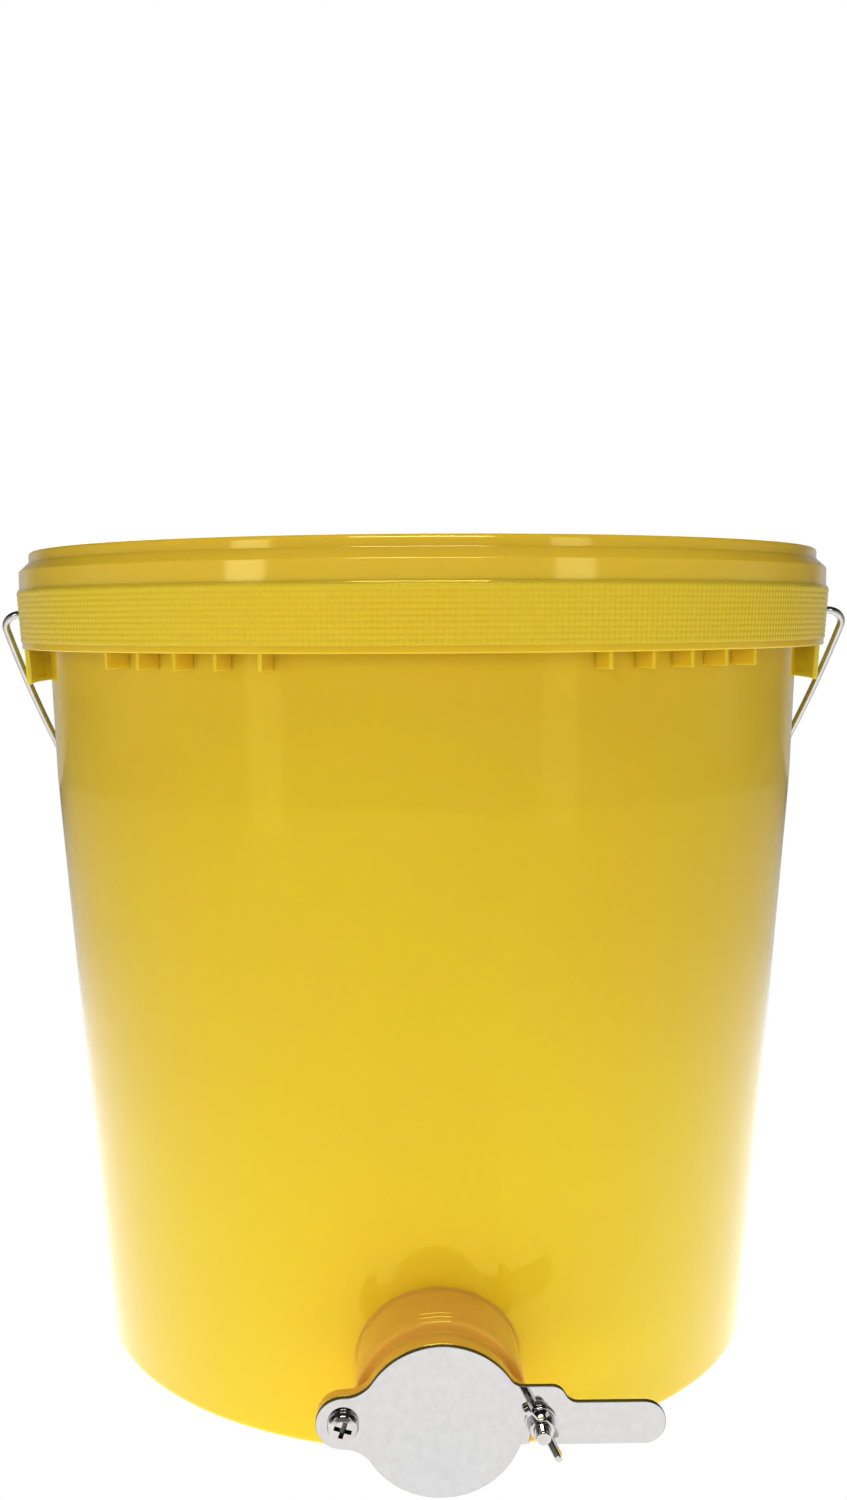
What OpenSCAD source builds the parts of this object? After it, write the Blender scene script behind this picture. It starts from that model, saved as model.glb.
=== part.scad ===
// Honey bucket with a cut-off gate: a lidded pail, a wire bail and a swinging
// blade that closes the outlet low on the front wall.
// Millimetres, +Z up, origin at the middle of the base, gate towards -Y.

/* [Bucket] */
// Outer radius of the wall at the base
base_r = 155; // [130:0.2:180]
// Height of the rim's top above the base
rim_z = 363.2; // [300:0.2:420]
// Lean of the lower wall from upright, in degrees
draft_low = 4.2; // [2:0.05:6]
// Lean of the upper wall from upright, in degrees
draft_high = 2; // [0.5:0.05:3]
// Depth below the rim at which the wall turns steeper
shoulder_drop = 101; // [80:1:140]
// Blend radius of that turn
shoulder_round = 60; // [20:5:100]
// Thickness of the wall
wall_t = 2.4; // [1.6:0.1:3.2]
// Thickness of the floor
floor_t = 3; // [1.8:0.1:4]
// Radius of the outer edge of the base
base_round = 2; // [1:0.5:5]
// Radius inside, between the floor and the wall
floor_round = 4; // [2:0.5:5]

/* [Collar] */
// Distance of the collar's top edge outside the wall
collar_out = 13.6; // [9:0.1:18]
// Distance that the collar's lower edge is drawn in
collar_taper = 1.7; // [0:0.1:3]
// Height of the collar
collar_h = 26; // [18:0.5:40]
// Height of the rim above the collar's top
rim_stand = 15.2; // [12:0.1:20]
// Thickness of the collar
collar_t = 2.2; // [1.6:0.1:3]
// Thickness of the web that carries the collar
web_t = 2.4; // [1.6:0.1:3.5]
// Height of the plain strip along the collar's lower edge
strip_h = 2.8; // [1.5:0.1:5]
// Depth of the step above that strip
strip_step = 0.6; // [0.2:0.1:1]
// Height of the bead at the rim
bead_h = 3; // [2:0.1:4]
// Fillet where the web meets the wall and the collar
web_round = 1.2; // [0.4:0.1:2]

/* [Collar ribs] */
// Number of ribs in each of the four groups
rib_count = 5; // [3:1:6]
// Angle of the first rib from the front or back, in degrees
rib_first = 20.4; // [14:0.2:26]
// Angle from one rib to the next, in degrees
rib_step = 5.8; // [4:0.1:7]
// Thickness of a rib
rib_t = 1.6; // [1:0.1:2.4]
// Distance that a rib reaches below the collar
rib_drop = 6.5; // [3:0.5:14]

/* [Ears] */
// Angle that an ear spans along the collar, in degrees
ear_span = 21.5; // [14:0.5:32]
// Distance that an ear reaches below the collar
ear_drop = 16.5; // [10:0.5:24]
// Thickness of an ear
ear_t = 2.2; // [1.6:0.1:3]
// Distance of an ear's face inside the collar's lower edge
ear_in = 0.7; // [0.7:0.1:1.4]
// Distance that an ear's lower edge is drawn in
ear_taper = 0.9; // [0:0.1:1.5]
// Width of the shallow pocket inside an ear
ear_pocket_w = 20; // [10:1:30]
// Height of that pocket
ear_pocket_h = 5.5; // [3:0.5:8]
// Depth of that pocket at its lower edge
ear_pocket_t = 1; // [0.6:0.1:1.2]
// Height of the ear's edge below that pocket
ear_sill = 2.6; // [1.5:0.1:4]
// Angle from the pivot to the rib on each side of it, in degrees
ear_rib_turn = 4; // [3:0.5:8]

/* [Lid] */
// Thickness of the lid
lid_t = 2.2; // [1.6:0.1:3]
// Distance of the lid's upper tier outside the wall
tier_out = 7; // [5.6:0.1:8]
// Height of the upper tier's straight side
tier_h = 4.6; // [3:0.1:7]
// Height of the slope from the upper tier to the skirt
ledge_h = 4.2; // [2:0.1:6]
// Distance of the skirt inside the collar's top edge
skirt_in = 1.6; // [0.6:0.1:3]
// Gap between the skirt and the collar's top
skirt_gap = 0.5; // [0.3:0.1:3]
// Depth of the lid's panel below its top
panel_drop = 14; // [8:0.5:20]
// Radius of the stiffening ring on the panel
ring_r = 118; // [60:1:140]
// Width of the stiffening ring
ring_w = 16; // [8:1:30]
// Height of the stiffening ring
ring_h = 3; // [1:0.5:6]
// Height of the snap ridge inside the skirt
snap_h = 0.8; // [0.4:0.1:1.2]
// Rounding of the lid's edges
lid_round = 1.6; // [0.6:0.1:2]

/* [Bail] */
// Diameter of the wire
wire_d = 3.6; // [2.6:0.1:5]
// Depth of the pivots below the collar's top
pivot_drop = 10.2; // [8:0.1:16]
// Distance of the wire's outer bend outside the collar
bail_out = 13.5; // [11:0.5:20]
// Radius of that bend
bend_r = 8; // [6:0.5:10]
// Length of the wire's end inside the collar
pin_in = 6; // [5:0.5:8]
// Lean of the arms where they leave the bend, in degrees
arm_lean = 8; // [2:0.5:10]
// Radius of the arms' curve
arm_r = 760; // [500:10:900]
// Angle at which the arms turn into the corners, in degrees
arm_turn = 27; // [20:1:30]
// Length of the straight stretch for the grip
grip_run = 100; // [80:1:130]
// Gap between the hanging grip and the wall
hang_gap = 0.5; // [0.3:0.1:3]
// Distance that the bail rests to the right of the middle
bail_shift = 2.1; // [-2.5:0.1:2.5]
// How much the wire's radius shrinks in the tight bends
bend_thin = 0.05; // [0.04:0.01:0.1]

/* [Grip] */
// Length of the grip
grip_l = 94; // [60:1:98]
// Diameter of the grip at its middle
grip_d = 21; // [16:0.5:28]
// Diameter of the grip at its ends
grip_end_d = 18; // [12:0.5:24]
// Number of grooves round the grip
groove_count = 9; // [3:2:15]
// Width of a groove
groove_w = 2.4; // [1:0.1:3]
// Depth of a groove
groove_depth = 1; // [0.4:0.1:1.5]

/* [Gate body] */
// Height of the outlet's middle on the wall
gate_z = 38.6; // [36.5:0.1:60]
// Radius of the outlet's bore
bore_r = 20; // [15:0.5:21]
// Outer radius of the threaded pipe
pipe_r = 23.9; // [22.5:0.1:26]
// Length of the pipe inside the wall
pipe_in = 24; // [20:0.5:32]
// Radius of the thick barrel against the wall
barrel_r = 33; // [30:0.2:33.4]
// Length of the barrel
barrel_l = 23.5; // [15:0.5:40]
// Radius of the waist in front of the barrel
waist_r = 29; // [24:0.2:30]
// Length of the waist
waist_l = 6; // [4.5:0.5:12]
// Radius of the face behind the blade
face_r = 30.4; // [27:0.2:32]
// Thickness of the face and its ears
face_t = 5.3; // [4.5:0.1:8]
// Distance of each ear's hole from the outlet's middle
ear_off = 36.9; // [35.5:0.1:44]
// Radius of the ears
gate_ear_r = 10; // [8:0.1:12]
// Radius of the hollow between an ear and the face
gate_ear_hollow = 12; // [6:0.5:20]
// Rounding of the barrel's edges
barrel_round = 1.5; // [0.5:0.1:2.5]

/* [Seals and lock nut] */
// Least thickness of each saddle seal
seal_t = 1.5; // [1:0.1:3]
// Outer radius of the seal inside the wall
inner_seal_r = 29; // [27:0.5:30]
// Outer radius of the lock nut
lock_nut_r = 28.4; // [27:0.2:30]
// Height of the lock nut
lock_nut_h = 13; // [10:0.5:16]
// Number of grip lugs on the lock nut
lug_count = 8; // [4:1:12]
// Width of a lug
lug_w = 7; // [4:0.5:10]
// Distance that a lug stands out of the nut
lug_out = 2.4; // [1:0.1:3]

/* [Blade] */
// Thickness of the blade
blade_t = 2; // [1.5:0.1:3]
// Radius of the disc that covers the outlet
disc_r = 30.8; // [28:0.1:32]
// Radius of the ear round the pivot
blade_ear_r = 10.3; // [8:0.1:12]
// Radius of the hollow between that ear and the disc
blade_ear_hollow = 13; // [6:0.5:20]
// Height of the neck's top edge above the middle
neck_top = 14.4; // [12:0.1:16]
// Fillet between the disc and the neck
neck_round = 6; // [3:0.5:10]
// Distance from the pin to the neck's outer corner
neck_reach = 7.3; // [6:0.1:10]
// Height of the handle's top edge above the middle
handle_top = 7.8; // [6:0.1:10]
// Depth of the handle's lower edge below the middle
handle_low = 9.2; // [7:0.1:10]
// Run of the slope from the neck to the handle
handle_slope = 3.8; // [2:0.1:6]
// Distance of the handle's end from the outlet's middle
handle_reach = 84.1; // [70:0.1:100]
// Rounding of the corners between the neck and the handle
handle_blend = 5.5; // [2:0.1:5.5]
// Rounding of the handle's end
handle_round = 8.2; // [4:0.1:8.4]
// Angle that the blade hangs below level, in degrees
blade_hang = 0.5; // [0:0.1:1]

/* [Fasteners] */
// Diameter of the pivot screw and the locking bolt
bolt_d = 6; // [5:0.5:6]
// Diameter of the pivot screw's head
head_d = 12; // [10:0.5:13]
// Height of that head
head_h = 3.8; // [2.5:0.1:5]
// Width of the head's cross slots
cross_w = 1.6; // [0.8:0.1:2]
// Length of the head's cross slots
cross_l = 6.4; // [4:0.1:8]
// Depth of the head's cross slots
cross_depth = 2; // [1:0.1:2.4]
// Width across the flats of the nut and the bolt's head
hex_af = 10; // [8:0.5:11]
// Height of the pivot nut
nut_h = 5; // [4:0.1:5.5]
// Height of the locking bolt's head
bolt_head_h = 4; // [3:0.1:4.5]
// Depth of the hexagon pockets in the ears
pocket_depth = 2.5; // [1.5:0.1:3]
// Length of the locking bolt in front of the blade
bolt_reach = 11.6; // [9:0.1:20]
// Diameter of the washer under the wing nut
washer_d = 12; // [10:0.5:16]
// Thickness of that washer
washer_t = 1.2; // [0.8:0.1:2]

/* [Wing nut] */
// Diameter of the hub where it meets the washer
hub_d = 11; // [9:0.5:13]
// Diameter of the hub's top
hub_top_d = 9; // [8:0.1:11]
// Height of the hub
hub_h = 5; // [4:0.1:7]
// Thickness of a wing
wing_t = 2.6; // [1.6:0.1:3.4]
// Distance of a wing tip's middle from the bolt
wing_reach = 10.8; // [8:0.1:14]
// Height of a wing tip's middle above the washer
wing_rise = 5.8; // [3:0.1:9]
// Radius of a wing's tip
wing_tip_r = 2.7; // [1.5:0.1:3.5]
// Turn of the wings from level, in degrees
wing_turn = 121; // [0:1:180]

/* [Fits] */
// Radial clearance of the blade on its pivot
pivot_fit = 0.06; // [0.02:0.01:0.1]
// Radial clearance of wire and bolts in plain holes
hole_clear = 0.3; // [0.1:0.05:0.5]
// Clearance of the pipe in the wall, the seals and the lock nut
pipe_clear = 0.3; // [0.1:0.05:0.6]
// Clearance of a nut on its thread and of a hexagon in its pocket
thread_clear = 0.06; // [0.02:0.01:0.15]
// Clearance of the locking slot round the bolt
slot_clear = 0.6; // [0.3:0.1:1]
// Free play of the blade, the washer and the nut along the outlet
face_play = 0.12; // [0.05:0.01:0.3]
// Gap between a seal and the curved wall
seal_clear = 0.05; // [0.03:0.01:0.1]
// Radial clearance of the lid inside and outside the rim
lid_clear = 0.4; // [0.3:0.05:0.8]

/* [Hidden] */

$fn = 64;
// Number of steps in each rounded corner of an outline
corner_steps = 5;
// Number of sides on the cones that the seals are cut to
cone_sides = 360;
// Distance that a hollow's circle reaches into the round beside it, so that the two cross
hollow_lap = 0.06;
// Distance that a cutting tool runs past the face it cuts
overrun = 1;

// Heights and radii of the bucket
shoulder_z = rim_z - shoulder_drop;
shoulder_r = base_r + shoulder_z * tan(draft_low);
collar_top_z = rim_z - rim_stand;
collar_low_z = collar_top_z - collar_h;
web_z = collar_top_z - web_t;
collar_r = wall_r(collar_top_z) + collar_out;
collar_low_r = collar_r - collar_taper;
strip_r = collar_low_r - strip_step;
rim_r = wall_r(rim_z);
rim_in_r = rim_r - wall_t;

// Radii and heights of the lid
tier_r = rim_r + tier_out;
tier_in_r = tier_r - lid_t;
skirt_r = collar_r - skirt_in;
skirt_in_r = skirt_r - lid_t;
lid_top_z = rim_z + lid_t;
ledge_top_z = lid_top_z - tier_h;
ledge_low_z = ledge_top_z - ledge_h;
skirt_low_z = collar_top_z + skirt_gap;
panel_z = lid_top_z - panel_drop;
panel_under_z = panel_z - lid_t;
plug_r = rim_in_r - lid_clear;
plug_low_r = wall_r(panel_under_z) - wall_t - lid_clear;
plug_in_r = plug_r - lid_t;
panel_in_r = plug_low_r - lid_t;
rim_bead_r = tier_in_r - snap_h - lid_clear;

// Bail, drawn in its own plane with the pivots on the X axis
wire_r = wire_d / 2;
wire_lap = wire_r / 3;
pivot_z = collar_top_z - pivot_drop;
collar_pivot_r = collar_low_r + collar_taper * (pivot_z - collar_low_z) / collar_h;
bail_half = collar_r + bail_out;
bend_x = bail_half - bend_r;
pin_x = collar_pivot_r - collar_t - pin_in;
arm_start = [bend_x + bend_r * cos(arm_lean), bend_r + bend_r * sin(arm_lean)];
arm_mid = arm_start - arm_r * [cos(arm_lean), sin(arm_lean)];
arm_end = arm_mid + arm_r * [cos(arm_turn), sin(arm_turn)];
corner_r = (arm_end.x - grip_run / 2) / cos(arm_turn);
corner_mid = arm_end - corner_r * [cos(arm_turn), sin(arm_turn)];
bail_reach = corner_mid.y + corner_r;
grip_r = grip_d / 2;
// Angle below level at which the grip hangs against the back wall
hang_span = base_r * cos(draft_low) + pivot_z * sin(draft_low) + grip_r + hang_gap;
bail_hang = draft_low + acos(hang_span / bail_reach);

// Places along the outlet, counted outwards from the wall
face_back = seal_t + barrel_l + waist_l;
face_front = face_back + face_t;
blade_back = face_front + face_play;
blade_front = blade_back + blade_t;
head_under = blade_front + face_play;
washer_back = blade_front + face_play;
hub_back = washer_back + washer_t + face_play;
inner_seal_face = wall_t / cos(draft_low) + seal_t + wall_sag(inner_seal_r);

bolt_r = bolt_d / 2;
head_r = head_d / 2;
hex_r = hex_af / (2 * cos(30));
pocket_r = hex_r + thread_clear;
slot_r = bolt_r + slot_clear;
pin_off = 2 * ear_off;
neck_x = ear_off + neck_reach;

// Outer radius of the wall at height z
function wall_r(z) =
    z < shoulder_z ? base_r + z * tan(draft_low)
                   : shoulder_r + (z - shoulder_z) * tan(draft_high);

// Depth of the inner wall's curve across a flat face of radius r
function wall_sag(r) =
    let (inside = wall_r(gate_z) - wall_t)
    inside - sqrt(inside * inside - r * r);

// Points of a closed outline whose corners, given as [x, y, radius], are rounded
function rounded(corners) = [
    for (i = [0 : len(corners) - 1])
        let (before = corners[(i + len(corners) - 1) % len(corners)],
             after = corners[(i + 1) % len(corners)])
        each corner_arc(before, corners[i], after)
];

function corner_arc(before, corner, after) =
    let (p = [corner.x, corner.y],
         u = unit([before.x, before.y] - p),
         v = unit([after.x, after.y] - p),
         half = acos(u * v) / 2,
         middle = p + unit(u + v) * corner.z / sin(half),
         from = p + u * corner.z / tan(half) - middle,
         start = atan2(from.y, from.x),
         turn = (180 - 2 * half) * sign(u.x * v.y - u.y * v.x))
    corner.z == 0 ? [p] : [
        for (i = [0 : corner_steps])
            let (angle = start - turn * i / corner_steps)
            middle + corner.z * [cos(angle), sin(angle)]
    ];

function unit(v) = v / norm(v);

// Puts its children on the outlet: X level, Y up the wall, Z out of the wall
module at_gate() {
    translate([0, -wall_r(gate_z), gate_z])
        rotate([90 + draft_low, 0, 0])
            children();
}

// Puts its children in the bail's plane as it hangs at the back
module at_bail() {
    translate([bail_shift, 0, pivot_z])
        rotate([-bail_hang, 0, 0])
            children();
}

// A cylinder between two heights
module drum(r, from, to) {
    translate([0, 0, from])
        cylinder(h = to - from, r = r);
}

// A ring between two heights
module ring(r, hole_r, from, to) {
    difference() {
        drum(r, from, to);
        drum(hole_r, from - overrun, to + overrun);
    }
}

// Fills the hollow corners between two circles that stand apart along X
module waist_fill(r, ear_r, off, hollow_r) {
    reach = r + hollow_r;
    ear_reach = ear_r + hollow_r;
    x = (off * off + reach * reach - ear_reach * ear_reach) / (2 * off);
    y = sqrt(reach * reach - x * x);
    difference() {
        polygon([[0, 0], [x, y], [off, 0], [x, -y]]);
        for (side = [-1, 1])
            translate([x, side * y])
                circle(hollow_r + hollow_lap);
    }
}

// The bucket's own wall, floor, collar and rim in section
module bucket_section() {
    polygon(rounded([
        [0, 0, 0],
        [base_r, 0, base_round],
        [shoulder_r, shoulder_z, shoulder_round],
        [wall_r(web_z), web_z, web_round],
        [collar_r - collar_t, web_z, web_round],
        [strip_r - collar_t, collar_low_z, 0],
        [strip_r, collar_low_z, strip_step],
        [strip_r, collar_low_z + strip_h, 0],
        [collar_low_r, collar_low_z + strip_h, 0],
        [collar_r, collar_top_z, strip_step],
        [wall_r(collar_top_z), collar_top_z, web_round],
        [rim_r, rim_z - bead_h - (rim_bead_r - rim_r), 0],
        [rim_bead_r, rim_z - bead_h, 0],
        [rim_bead_r, rim_z, bead_h / 3],
        [rim_in_r, rim_z, wall_t / 3],
        [shoulder_r - wall_t, shoulder_z, shoulder_round],
        [wall_r(floor_t) - wall_t, floor_t, floor_round],
        [0, floor_t, 0]
    ]));
}

// Radius inside the wall's thickness from height z up to the web
function root_r(z) = (wall_r(z) + wall_r(web_z) - wall_t) / 2;

// A thin upright rib from the wall into the collar, with its foot at height low_z
module collar_rib(low_z) {
    top_z = web_z + web_t / 2;
    rotate([90, 0, 0])
        translate([0, 0, -rib_t / 2])
            linear_extrude(rib_t)
                polygon([
                    [root_r(low_z), low_z],
                    [strip_r - collar_t / 2, low_z],
                    [strip_r - collar_t / 2, collar_low_z + strip_h],
                    [collar_r - collar_t / 2, top_z],
                    [root_r(low_z), top_z]
                ]);
}

// The curved apron that hangs from the collar round one end of the bail
module ear() {
    low_z = collar_low_z - ear_drop;
    top_z = web_z + web_t / 2;
    low_r = strip_r - ear_in - ear_taper;
    top_r = strip_r - ear_in + ear_taper * (top_z - collar_low_z) / ear_drop;
    back_r = wall_r(top_z);
    difference() {
        rotate([0, 0, -ear_span / 2])
            rotate_extrude(angle = ear_span)
                polygon([
                    [low_r - ear_t, low_z],
                    [low_r, low_z],
                    [top_r, top_z],
                    [top_r - ear_t, top_z]
                ]);
        translate([back_r, -ear_pocket_w / 2, low_z + ear_sill])
            cube([low_r - ear_t + ear_pocket_t - back_r, ear_pocket_w, ear_pocket_h]);
    }
    for (side = [-1, 1])
        rotate([0, 0, side * ear_rib_turn])
            collar_rib(collar_low_z + strip_h / 2);
}

module bucket() {
    color("gold")
    difference() {
        union() {
            rotate_extrude()
                bucket_section();
            for (half = [-90, 90], side = [-1, 1], i = [0 : rib_count - 1])
                rotate([0, 0, half + side * (rib_first + i * rib_step)])
                    collar_rib(collar_low_z - rib_drop);
            for (turn = [0, 180])
                rotate([0, 0, turn])
                    ear();
        }
        at_gate()
            drum(pipe_r + pipe_clear, -barrel_r, barrel_r);
        for (side = [-1, 1])
            translate([0, 0, pivot_z])
                rotate([0, side * 90, 0])
                    drum(wire_r + hole_clear, collar_r - collar_out / 2, collar_r + overrun);
    }
}

module lid() {
    color("goldenrod")
    rotate_extrude()
        polygon(rounded([
            [0, panel_under_z, 0],
            [ring_r - ring_w / 2, panel_under_z, 0],
            [ring_r - ring_w / 2 + ring_h, panel_under_z + ring_h, 0],
            [ring_r + ring_w / 2 - ring_h, panel_under_z + ring_h, 0],
            [ring_r + ring_w / 2, panel_under_z, 0],
            [plug_low_r, panel_under_z, lid_round],
            [plug_r, rim_z, 0],
            [tier_in_r, rim_z, snap_h],
            [tier_in_r, rim_z - bead_h - lid_clear, 0],
            [tier_in_r - snap_h, rim_z - bead_h - lid_clear - snap_h, 0],
            [tier_in_r, ledge_top_z - ledge_h / 2 - snap_h, 0],
            [skirt_in_r, ledge_low_z - lid_t / 2, 0],
            [skirt_in_r, skirt_low_z, 0],
            [skirt_r, skirt_low_z, lid_t / 3],
            [skirt_r, ledge_low_z, lid_t / 3],
            [tier_r, ledge_top_z, lid_t / 3],
            [tier_r, lid_top_z, lid_round],
            [plug_in_r, lid_top_z, lid_round],
            [panel_in_r, panel_z, lid_round],
            [ring_r + ring_w / 2, panel_z, 0],
            [ring_r + ring_w / 2 - ring_h, panel_z + ring_h, 0],
            [ring_r - ring_w / 2 + ring_h, panel_z + ring_h, 0],
            [ring_r - ring_w / 2, panel_z, 0],
            [0, panel_z, 0]
        ]));
}

// One curved stretch of wire of radius thick_r about the given middle
module wire_bend(middle, r, thick_r, from, to) {
    translate(middle)
        rotate([0, 0, from])
            rotate_extrude(angle = to - from)
                translate([r, 0])
                    circle(thick_r);
}

// The tight bends are a little thinner and run on inside their neighbours
module bail_wire() {
    bend_r_wire = wire_r - bend_thin;
    bend_lap = asin(wire_lap / bend_r);
    corner_lap = asin(wire_lap / corner_r);
    color("silver")
    at_bail()
    union() {
        for (turn = [0, 180])
            rotate([0, turn, 0]) {
                rotate([0, 90, 0])
                    drum(wire_r, pin_x, bend_x);
                wire_bend([bend_x, bend_r], bend_r, bend_r_wire, -90 - bend_lap, arm_lean + bend_lap);
                wire_bend(arm_mid, arm_r, wire_r, arm_lean, arm_turn);
                wire_bend(corner_mid, corner_r, bend_r_wire, arm_turn - corner_lap, 90 + corner_lap);
            }
        translate([0, bail_reach, 0])
            rotate([0, 90, 0])
                drum(wire_r, -grip_run / 2, grip_run / 2);
    }
}

// The grip is a barrel with grooves across the fingers
module bail_grip() {
    groove_step = grip_l / (groove_count + 1);
    end_r = grip_end_d / 2;
    color("gold")
    at_bail()
    translate([0, bail_reach, 0])
        rotate([0, 90, 0])
            difference() {
                rotate_extrude()
                    polygon(rounded([
                        [wire_r + hole_clear, -grip_l / 2, 0],
                        [end_r, -grip_l / 2, groove_w],
                        [grip_r, -grip_l / 4, grip_l],
                        [grip_r, grip_l / 4, grip_l],
                        [end_r, grip_l / 2, groove_w],
                        [wire_r + hole_clear, grip_l / 2, 0]
                    ]));
                for (i = [1 : groove_count])
                    translate([0, 0, i * groove_step - grip_l / 2])
                        rotate_extrude()
                            translate([grip_r - groove_depth + groove_w / 2, 0])
                                circle(groove_w / 2);
            }
}

// Outline of the face and its two ears
module face_outline() {
    circle(face_r);
    for (turn = [0, 180])
        rotate([0, 0, turn]) {
            translate([ear_off, 0])
                circle(gate_ear_r);
            waist_fill(face_r, gate_ear_r, ear_off, gate_ear_hollow);
        }
}

module gate_body() {
    color("darkgoldenrod")
    at_gate()
    difference() {
        union() {
            drum(pipe_r, -pipe_in, seal_t + barrel_l);
            translate([0, 0, seal_t])
                rotate_extrude()
                    polygon(rounded([
                        [0, 0, 0],
                        [barrel_r, 0, 0],
                        [barrel_r, barrel_l, barrel_round],
                        [0, barrel_l, 0]
                    ]));
            drum(waist_r, seal_t + barrel_l / 2, face_back + face_t / 2);
            translate([0, 0, face_back])
                linear_extrude(face_t)
                    face_outline();
        }
        drum(bore_r, -pipe_in - overrun, face_front + overrun);
        for (side = [-1, 1])
            translate([side * ear_off, 0, 0]) {
                drum(bolt_r + hole_clear, face_back - overrun, face_front + overrun);
                translate([0, 0, face_back - overrun])
                    cylinder(h = pocket_depth + overrun, r = pocket_r, $fn = 6);
            }
    }
}

// The seal outside follows the wall at its back and is flat in front
module outer_seal() {
    color("peru")
    difference() {
        at_gate()
            ring(barrel_r, pipe_r + pipe_clear, -barrel_r / 2, seal_t);
        cylinder(h = shoulder_z, r1 = base_r + seal_clear, r2 = shoulder_r + seal_clear, $fn = cone_sides);
    }
}

// The seal inside follows the wall in front and is flat towards the lock nut
module inner_seal() {
    inside_r = base_r - wall_t - seal_clear;
    color("peru")
    intersection() {
        at_gate()
            ring(inner_seal_r, pipe_r + pipe_clear, -inner_seal_face, 0);
        cylinder(h = shoulder_z, r1 = inside_r, r2 = inside_r + shoulder_r - base_r, $fn = cone_sides);
    }
}

module lock_nut() {
    lug_root_r = (pipe_r + lock_nut_r) / 2;
    color("darkgoldenrod")
    at_gate()
    translate([0, 0, -inner_seal_face - lock_nut_h])
        difference() {
            union() {
                cylinder(h = lock_nut_h, r = lock_nut_r);
                for (i = [0 : lug_count - 1])
                    rotate([0, 0, (i + 1 / 2) * 360 / lug_count])
                        translate([lug_root_r, -lug_w / 2, 0])
                            cube([lock_nut_r + lug_out - lug_root_r, lug_w, lock_nut_h]);
            }
            drum(pipe_r + pipe_clear / 2, -overrun, lock_nut_h + overrun);
        }
}

// Fills the corner between the blade's disc and the top of its neck
module neck_fillet() {
    y = neck_top + neck_round;
    x = sqrt(pow(disc_r + neck_round, 2) - pow(y, 2));
    difference() {
        polygon([[0, 0], [x, y], [x, 0]]);
        translate([x, y])
            circle(neck_round + hollow_lap);
    }
}

// Outline of the blade's neck and handle
module handle_outline() {
    polygon(rounded([
        [0, neck_top, 0],
        [neck_x, neck_top, handle_blend],
        [neck_x + handle_slope, handle_top, handle_blend],
        [handle_reach, handle_top, handle_round],
        [handle_reach, -handle_low, handle_round],
        [0, -handle_low, 0]
    ]));
}

// The slot that drops over the locking bolt, an arc about the pivot open below
module slot_outline() {
    translate([ear_off, 0])
        circle(slot_r);
    translate([-ear_off, 0])
        intersection() {
            difference() {
                circle(pin_off + slot_r);
                circle(pin_off - slot_r);
            }
            translate([pin_off - disc_r, -disc_r])
                square([2 * disc_r, disc_r]);
        }
}

module gate_blade() {
    color("lightgray")
    at_gate()
    translate([-ear_off, 0, blade_back])
        difference() {
            rotate([0, 0, -blade_hang])
                union() {
                    cylinder(h = blade_t, r = blade_ear_r);
                    translate([ear_off, 0, 0]) {
                        cylinder(h = blade_t, r = disc_r);
                        rotate([0, 0, 180])
                            linear_extrude(blade_t)
                                waist_fill(disc_r, blade_ear_r, ear_off, blade_ear_hollow);
                        linear_extrude(blade_t)
                            neck_fillet();
                        linear_extrude(blade_t)
                            handle_outline();
                    }
                }
            translate([ear_off, 0, -overrun])
                linear_extrude(blade_t + 2 * overrun)
                    slot_outline();
            drum(bolt_r + pivot_fit, -overrun, blade_t + overrun);
        }
}

// A pan-head screw through the blade into the left ear
module pivot_screw() {
    nut_end = face_back + pocket_depth - nut_h;
    color("gainsboro")
    at_gate()
    translate([-ear_off, 0, 0])
        difference() {
            union() {
                drum(bolt_r, nut_end - washer_t, head_under + head_h / 2);
                translate([0, 0, head_under])
                    rotate_extrude()
                        polygon(rounded([
                            [0, 0, 0],
                            [head_r, 0, 0],
                            [head_r, head_h, head_h / 2],
                            [0, head_h, 0]
                        ]));
            }
            for (turn = [0, 90])
                rotate([0, 0, turn])
                    translate([-cross_l / 2, -cross_w / 2, head_under + head_h - cross_depth])
                        cube([cross_l, cross_w, cross_depth + overrun]);
        }
}

module pivot_nut() {
    color("gainsboro")
    at_gate()
    translate([-ear_off, 0, face_back + pocket_depth - nut_h])
        difference() {
            cylinder(h = nut_h, r = hex_r, $fn = 6);
            drum(bolt_r + thread_clear, -overrun, nut_h + overrun);
        }
}

// A hexagon bolt pushed through the right ear from behind
module locking_bolt() {
    color("gainsboro")
    at_gate()
    translate([ear_off, 0, face_back + pocket_depth - bolt_head_h]) {
        cylinder(h = bolt_head_h, r = hex_r, $fn = 6);
        rotate_extrude()
            polygon(rounded([
                [0, 0, 0],
                [bolt_r, 0, 0],
                [bolt_r, blade_front + bolt_reach - face_back - pocket_depth + bolt_head_h, bolt_r / 4],
                [0, blade_front + bolt_reach - face_back - pocket_depth + bolt_head_h, 0]
            ]));
    }
}

module clamp_washer() {
    color("gainsboro")
    at_gate()
    translate([ear_off, 0, 0])
        ring(washer_d / 2, bolt_r + hole_clear, washer_back, washer_back + washer_t);
}

// One wing, standing on the hub in the XZ plane
module wing() {
    lean = atan2(wing_rise, wing_reach);
    side = wing_tip_r * [-sin(lean), cos(lean)];
    tip = [wing_reach, wing_rise];
    rotate([90, 0, 0])
        translate([0, 0, -wing_t / 2])
            linear_extrude(wing_t) {
                translate(tip)
                    circle(wing_tip_r);
                polygon([[0, 0], [hub_d / 2 - hub_h / 4, 0], tip - side, tip + side, [0, hub_h]]);
            }
}

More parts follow.
